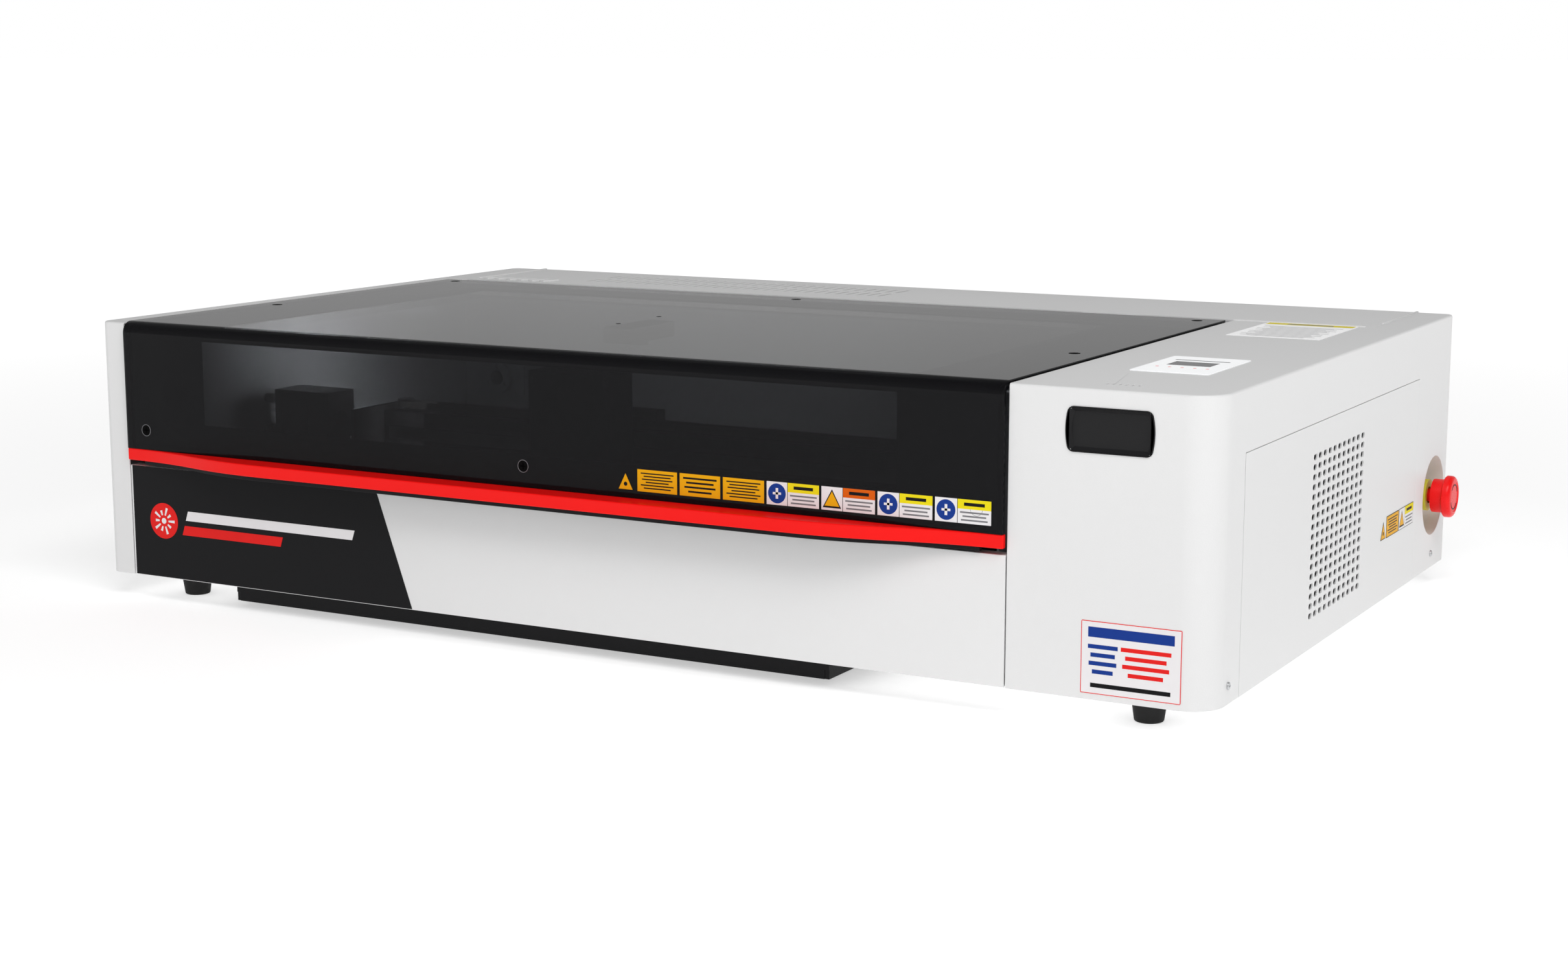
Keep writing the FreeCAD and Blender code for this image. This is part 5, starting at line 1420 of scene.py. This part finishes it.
@dataclass
class Chamber(SubAssembly):
    """Chamber walls, beam port and the honeycomb bed."""

    cell: float = 12.0 * MM
    cell_wall: float = 0.35 * MM
    frame_width: float = 14.0 * MM
    core_depth: float = 11.0 * MM
    strip_size: tuple[float, float] = (44.0 * MM, 7.0 * MM)
    strip_lift: float = 4.0 * MM

    def honeycomb(self) -> None:
        """Bed frame of four butted bars, around a core of open hexagonal cells."""
        low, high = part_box("honeycomb_bed")
        rim = self.frame_width
        bars = []
        for x0, x1, y0, y1 in ((low.x, high.x, low.y, low.y + rim), (low.x, high.x, high.y - rim, high.y),
                               (low.x, low.x + rim, low.y + rim, high.y - rim),
                               (high.x - rim, high.x, low.y + rim, high.y - rim)):
            bars.append(Solid.box((x0, y0, low.z), (x1, y1, high.z)).soften(0.8 * MM))
        x0, x1 = low.x + rim, high.x - rim
        y0, y1 = low.y + rim, high.y - rim
        across = self.cell
        side = across / math.sqrt(3)
        columns = int((x1 - x0) / across)
        rows = int((y1 - y0 - side * 0.5) / (side * 1.5))
        cell = bmesh.new()
        bmesh.ops.create_circle(cell, cap_ends=True, segments=6, radius=side)
        bmesh.ops.inset_individual(cell, faces=cell.faces[:], thickness=self.cell_wall, use_even_offset=True)
        cell.faces.ensure_lookup_table()
        centre = min(cell.faces, key=lambda face: face.calc_center_median().length)
        hole = list(centre.edges)
        bmesh.ops.delete(cell, geom=[centre], context="FACES_ONLY")
        walls = bmesh.ops.extrude_edge_only(cell, edges=hole)["geom"]
        deep = [item for item in walls if isinstance(item, bmesh.types.BMVert)]
        bmesh.ops.translate(cell, vec=(0, 0, -self.core_depth), verts=deep)
        places = []
        start_x = (x0 + x1) / 2 - across * (columns - 0.5) / 2
        start_y = (y0 + y1) / 2 - side * 1.5 * (rows - 1) / 2
        for row in range(rows):
            shift = across / 2 if row % 2 else 0.0
            for column in range(columns):
                spot = (start_x + across * column + shift, start_y + side * 1.5 * row, high.z - 1.0 * MM)
                places.append(Matrix.Translation(spot))
        core = Solid(cell).copies(places).painted(1)
        self.piece("honeycomb_core", core, [Finish.ALUMINIUM, Finish.ALUMINIUM], "chassis", slot="aluminium")
        self.piece("bed_frame", Solid().joined(bars), [Finish.ALUMINIUM], "chassis", ["honeycomb_bed"])

    def port_strip(self) -> None:
        """Amber strip over the beam port."""
        low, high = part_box("beam_port_flange")
        x = (low.x + high.x) / 2
        half, tall = self.strip_size[0] / 2, self.strip_size[1]
        foot = high.z + self.strip_lift
        strip = Solid.box((x - half, low.y + 5.0 * MM, foot), (x + half, high.y, foot + tall))
        self.piece("port_strip", strip.soften(0.4 * MM), [Finish.AMBER], "chassis")

    def build(self) -> None:
        """Dresses the chamber."""
        self.dress(Finish.INNER_PAINT, "left_inner_wall", "right_inner_wall", "rear_bulkhead")
        self.skin("beam_port_flange", Finish.INNER_PAINT, 0.3 * MM)
        self.dress(Finish.BLACK_PAINT, "front_crossbar")
        self.honeycomb()
        self.port_strip()


@dataclass
class Gantry(SubAssembly):
    """Rails, belts, motors and the bridge with the second mirror."""

    spring_radius: float = 3.3 * MM
    spring_wire: float = 0.45 * MM
    screw_places: tuple[tuple[float, float], ...] = (
        (-184.0 * MM, 146.0 * MM), (-158.0 * MM, 146.0 * MM), (-184.0 * MM, 176.0 * MM))

    def springs(self) -> None:
        """Coil springs on the mirror mount's adjusting screws."""
        low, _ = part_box("mirror_mount_2")
        length = 6.8 * MM
        spring = Solid.coil(self.spring_radius, self.spring_wire, length, 5)
        places = [span((1, 0, 0), (low.x + 9.2 * MM, y, z)) for y, z in self.screw_places]
        self.piece("mirror_springs", spring.copies(places), [Finish.STEEL], "gantry")

    def build(self) -> None:
        """Dresses the motion parts."""
        for node in ("gantry_beam", "gantry_plates", "mirror_mount_2"):
            self.skin(node, Finish.BLACK_ANODISED, 0.4 * MM)
        self.dress(Finish.STEEL, "y_rails", "x_rail", "y_drive_shaft")
        self.dress(Finish.ALUMINIUM, "y_bearings", "x_drive_pulley")
        self.dress(Finish.BLACK_PAINT, "y_motor", "x_motor")
        self.dress(Finish.RUBBER, "y_belts", "x_belt")
        self.springs()


@dataclass
class LaserHead(SubAssembly):
    """Head carriage, cover, focusing tube and cable chain."""

    link_pitch: float = 9.0 * MM
    link_wall: float = 2.0 * MM
    bridge_thick: float = 1.4 * MM
    chain_height: float = 11.0 * MM
    knob_radius: float = 8.0 * MM
    knob_grips: int = 24

    def chain_path(self) -> Callable[[float], tuple[Vector, float]]:
        """The chain's centreline: a point and a heading for a distance along it.

        Returns:
            A function from a distance to a point and a heading.
        """
        low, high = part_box("cable_chain")
        outer = (high.z - low.z) / 2
        middle = outer - self.chain_height / 2
        loop_x = low.x + outer
        level = (low.z + high.z) / 2
        y = (low.y + high.y) / 2
        run = high.x - loop_x
        bend = math.pi * middle

        def point(distance: float) -> tuple[Vector, float]:
            """Place and heading at a distance from the lower run's right end.

            Args:
                distance: the distance.

            Returns:
                The place and the heading.
            """
            if distance < run:
                return Vector((high.x - distance, y, level - middle)), math.pi
            if distance < run + bend:
                angle = (distance - run) / middle
                spot = Vector((loop_x - middle * math.sin(angle), y, level - middle * math.cos(angle)))
                return spot, math.pi - angle
            return Vector((loop_x + distance - run - bend, y, level + middle)), 0.0

        return point

    def cable_chain(self) -> None:
        """Links along the chain's path, each of two side plates and two bridges."""
        low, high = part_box("cable_chain")
        point = self.chain_path()
        wide = high.y - low.y
        tall = self.chain_height
        outer = (high.z - low.z) / 2
        run = high.x - low.x - outer
        length = run + math.pi * (outer - tall / 2) + 42.0 * MM
        count = round(length / self.link_pitch)
        half = self.link_pitch * 0.56
        plates = []
        for y0 in (-wide / 2, wide / 2 - self.link_wall):
            plate = Solid.box((-half, y0, -tall / 2), (half, y0 + self.link_wall, tall / 2))
            plates.append(plate.soften(0.5 * MM))
        reach, side = half * 0.55, wide / 2 - 0.3 * MM
        for z0 in (-tall / 2, tall / 2 - self.bridge_thick):
            bridge = Solid.box((-reach, -side, z0), (reach, side, z0 + self.bridge_thick))
            plates.append(bridge.soften(0.3 * MM, 1))
        link = Solid().joined(plates)
        places = []
        for index in range(count):
            spot, heading = point(length * (index + 0.5) / count)
            places.append(Matrix.Translation(spot) @ Matrix.Rotation(-heading, 4, "Y"))
        self.piece("chain_links", link.copies(places), [Finish.BLACK_PLASTIC], "laser_head", ["cable_chain"])

    def cover_details(self) -> None:
        """Knob and corner screws on the cover's front."""
        low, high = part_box("head_cover")
        radius = self.knob_radius
        knob = Solid.lathe([(0, 0), (radius * 0.9, 0), (radius, 0.6 * MM), (radius, 5 * MM),
                            (radius * 0.85, 6 * MM), (0, 6.2 * MM)], 40)
        grip = Solid.rod(0.6 * MM, 4.6 * MM, sides=8)
        stand = Matrix.Translation((radius, 0, 0.6 * MM))
        turn = math.tau / self.knob_grips
        places = [Matrix.Rotation(turn * index, 4, "Z") @ stand for index in range(self.knob_grips)]
        knob.joined([grip.copies(places)])
        knob.moved(Facing.FRONT.frame_at((high.x - 14 * MM, low.y, low.z + 16 * MM)))
        self.piece("head_knob", knob, [Finish.BLACK_ANODISED], "laser_head")
        screw = Solid.lathe([(0, 0.9 * MM), (1.7 * MM, 0.8 * MM), (2.2 * MM, 0), (0, 0)], 18)
        spots = [(x, z) for x in (low.x + 6 * MM, high.x - 6 * MM) for z in (low.z + 6 * MM, high.z - 6 * MM)]
        places = [Facing.FRONT.frame_at((x, low.y, z)) for x, z in spots]
        self.piece("head_screws", screw.copies(places), [Finish.STEEL], "laser_head")

    def build(self) -> None:
        """Dresses the head."""
        self.skin("head_cover", Finish.BLACK_PAINT, 0.4 * MM)
        self.dress(Finish.BLACK_ANODISED, "head_carriage")
        self.dress(Finish.ALUMINIUM, "lens_tube")
        self.cable_chain()
        self.cover_details()


@dataclass
class RearBay(SubAssembly):
    """Laser tube, fan, duct, outlet, cooling and electronics."""

    guard_rings: int = 4
    guard_wire: float = 0.8 * MM
    guard_pitch: float = 11.0 * MM

    def fan_guard(self) -> None:
        """Wire guard of rings and two cross wires over the fan."""
        low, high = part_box("exhaust_fan_frame")
        centre = ((low.x + high.x) / 2, high.y + 1.0 * MM, (low.z + high.z) / 2)
        wire, pitch = self.guard_wire, self.guard_pitch
        bits = [Solid.ring(pitch * (index + 1), wire, 48, 8) for index in range(self.guard_rings)]
        reach = pitch * self.guard_rings
        flat = Matrix.Rotation(math.radians(90), 4, "Y")
        for turn in (45, 135):
            rod = Solid.rod(wire, 2 * reach, sides=8).at(0, 0, -reach)
            bits.append(rod.moved(Matrix.Rotation(math.radians(turn), 4, "Z") @ flat))
        guard = Solid().joined(bits).moved(Facing.REAR.frame_at(centre))
        self.piece("fan_guard", guard, [Finish.STEEL], "chassis")

    def build(self) -> None:
        """Dresses the rear bay."""
        self.dress(Finish.TUBE_GLASS, "laser_tube")
        self.dress(Finish.BLACK_PLASTIC, "tube_mounts", "exhaust_fan_frame", "exhaust_rotor")
        self.dress(Finish.STEEL, "exhaust_duct", "power_supplies")
        self.dress(Finish.COOLANT_PLASTIC, "cooling_unit")
        self.dress(Finish.GREEN_BOARD, "control_board")
        self.skin("exhaust_outlet", Finish.BLACK_PAINT, 0.4 * MM)
        self.fan_guard()


# ---- studio -------------------------------------------------------------------------------
@dataclass
class Studio:
    """Pale floor, soft light and the camera."""

    floor_size: float = 400.0
    floor_shade: Colour = (0.82, 0.82, 0.82)
    floor_glow: float = 0.5
    far_glow: float = 0.9
    sky_levels: tuple[tuple[float, float], ...] = (
        (0.0, 1.0), (0.03, 1.0), (0.07, 0.55), (0.3, 0.5), (0.7, 0.24), (1.0, 0.16))
    camera_place: tuple[float, float, float] = (1.1367, -2.0831, 0.5106)
    camera_turn: tuple[float, float, float] = (80.105, 0.0, 28.90)
    camera_lens: float = 57.4

    def world(self) -> None:
        """Sky that is bright at the horizon and dimmer overhead."""
        world = bpy.data.worlds.new("studio_sky")
        world.use_nodes = True
        bpy.context.scene.world = world
        graph = Graph(world.node_tree)
        direction = graph.node("ShaderNodeTexCoord", output="Generated")
        height = graph.node("ShaderNodeSeparateXYZ", None, {0: direction}, "Z")
        stops = [(place, (level,) * 3) for place, level in self.sky_levels]
        sky = graph.node("ShaderNodeValToRGB", {"stops": stops}, {"Fac": height}, "Color")
        light = graph.node("ShaderNodeBackground", None, {"Color": sky, "Strength": 1.0})
        graph.node("ShaderNodeOutputWorld", None, {"Surface": light})

    def floor(self) -> None:
        """Large pale floor with a faint glow, so that it stays pale far away."""
        bm = bmesh.new()
        bmesh.ops.create_grid(bm, x_segments=1, y_segments=1, size=self.floor_size / 2)
        mesh = bpy.data.meshes.new("floor")
        bm.to_mesh(mesh)
        bm.free()
        material = bpy.data.materials.new("floor_paper")
        material.use_nodes = True
        graph = Graph(material.node_tree)
        away = graph.node("ShaderNodeVectorMath", {"operation": "LENGTH"}, {0: graph.place()}, "Value")
        share = graph.node("ShaderNodeMapRange", None, {"Value": away, "From Min": 1.0, "From Max": 4.0})
        glow = graph.blend(share, (self.floor_glow,) * 3, (self.far_glow,) * 3)
        graph.shader(Base_Color=self.floor_shade, Roughness=0.9, Specular_IOR_Level=0.0,
                     Emission_Color=glow, Emission_Strength=1.0)
        mesh.materials.append(material)
        floor = bpy.data.objects.new("floor", mesh)
        bpy.context.scene.collection.objects.link(floor)

    def lamp(self, name: str, place: Triple, target: Triple, size: tuple[float, float], power: float,
             spread: float = 180.0, mirrored: bool = True) -> None:
        """A soft rectangular lamp that looks at a target; unmirrored lamps don't show in glossy surfaces.

        Args:
            name: the lamp's name.
            place: where it stands.
            target: the point it looks at.
            size: its width and height.
            power: its power in watts.
            spread: the angle of its beam in degrees.
            mirrored: whether glossy surfaces show it.
        """
        data = bpy.data.lights.new(name, "AREA")
        data.shape = "RECTANGLE"
        data.size, data.size_y = size
        data.energy = power
        data.spread = math.radians(spread)
        lamp = bpy.data.objects.new(name, data)
        lamp.location = place
        lamp.rotation_euler = (Vector(place) - Vector(target)).to_track_quat("Z", "Y").to_euler()
        lamp.visible_camera = False
        lamp.visible_glossy = mirrored
        lamp.visible_transmission = mirrored
        bpy.context.scene.collection.objects.link(lamp)

    def camera(self) -> None:
        """Camera at three-quarter view from the front right."""
        data = bpy.data.cameras.new("camera")
        data.lens = self.camera_lens
        data.sensor_width = 36.0
        data.clip_start, data.clip_end = 0.05, 1000.0
        camera = bpy.data.objects.new("camera", data)
        camera.location = self.camera_place
        camera.rotation_euler = [math.radians(turn) for turn in self.camera_turn]
        bpy.context.scene.collection.objects.link(camera)
        bpy.context.scene.camera = camera

    def build(self) -> None:
        """Sets up the studio."""
        self.camera()
        self.world()
        self.floor()
        self.lamp("key_lamp", (1.5, -1.7, 2.9), (0.0, 0.0, 0.1), (2.4, 1.2), 62.0)
        self.lamp("wall_lamp", (-0.33, -0.14, 0.185), (-0.53, -0.09, 0.20), (0.05, 0.22), 1.5, 100.0, False)
        self.lamp("rear_lamp", (-0.12, -0.08, 0.225), (-0.20, 0.17, 0.15), (0.4, 0.03), 0.3, 110.0, False)
        view = bpy.context.scene.view_settings
        view.view_transform = "Standard"
        view.look = "None"


def corners(box: tuple[Vector, Vector]) -> list[list[float]]:
    """A box's corners as plain lists."""
    return [list(corner) for corner in box]


def main() -> None:
    """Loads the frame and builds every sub-assembly around it."""
    logging.basicConfig(level=logging.INFO, format="%(name)s: %(message)s")
    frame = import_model()
    Studio().build()
    for part in (Case, Controls, Lid, NoticePlates, RatingPlates, FrontDoor, CrumbDrawer, Chamber, Gantry,
                 LaserHead, RearBay):
        part(frame).build()


if __name__ == "__main__":
    main()
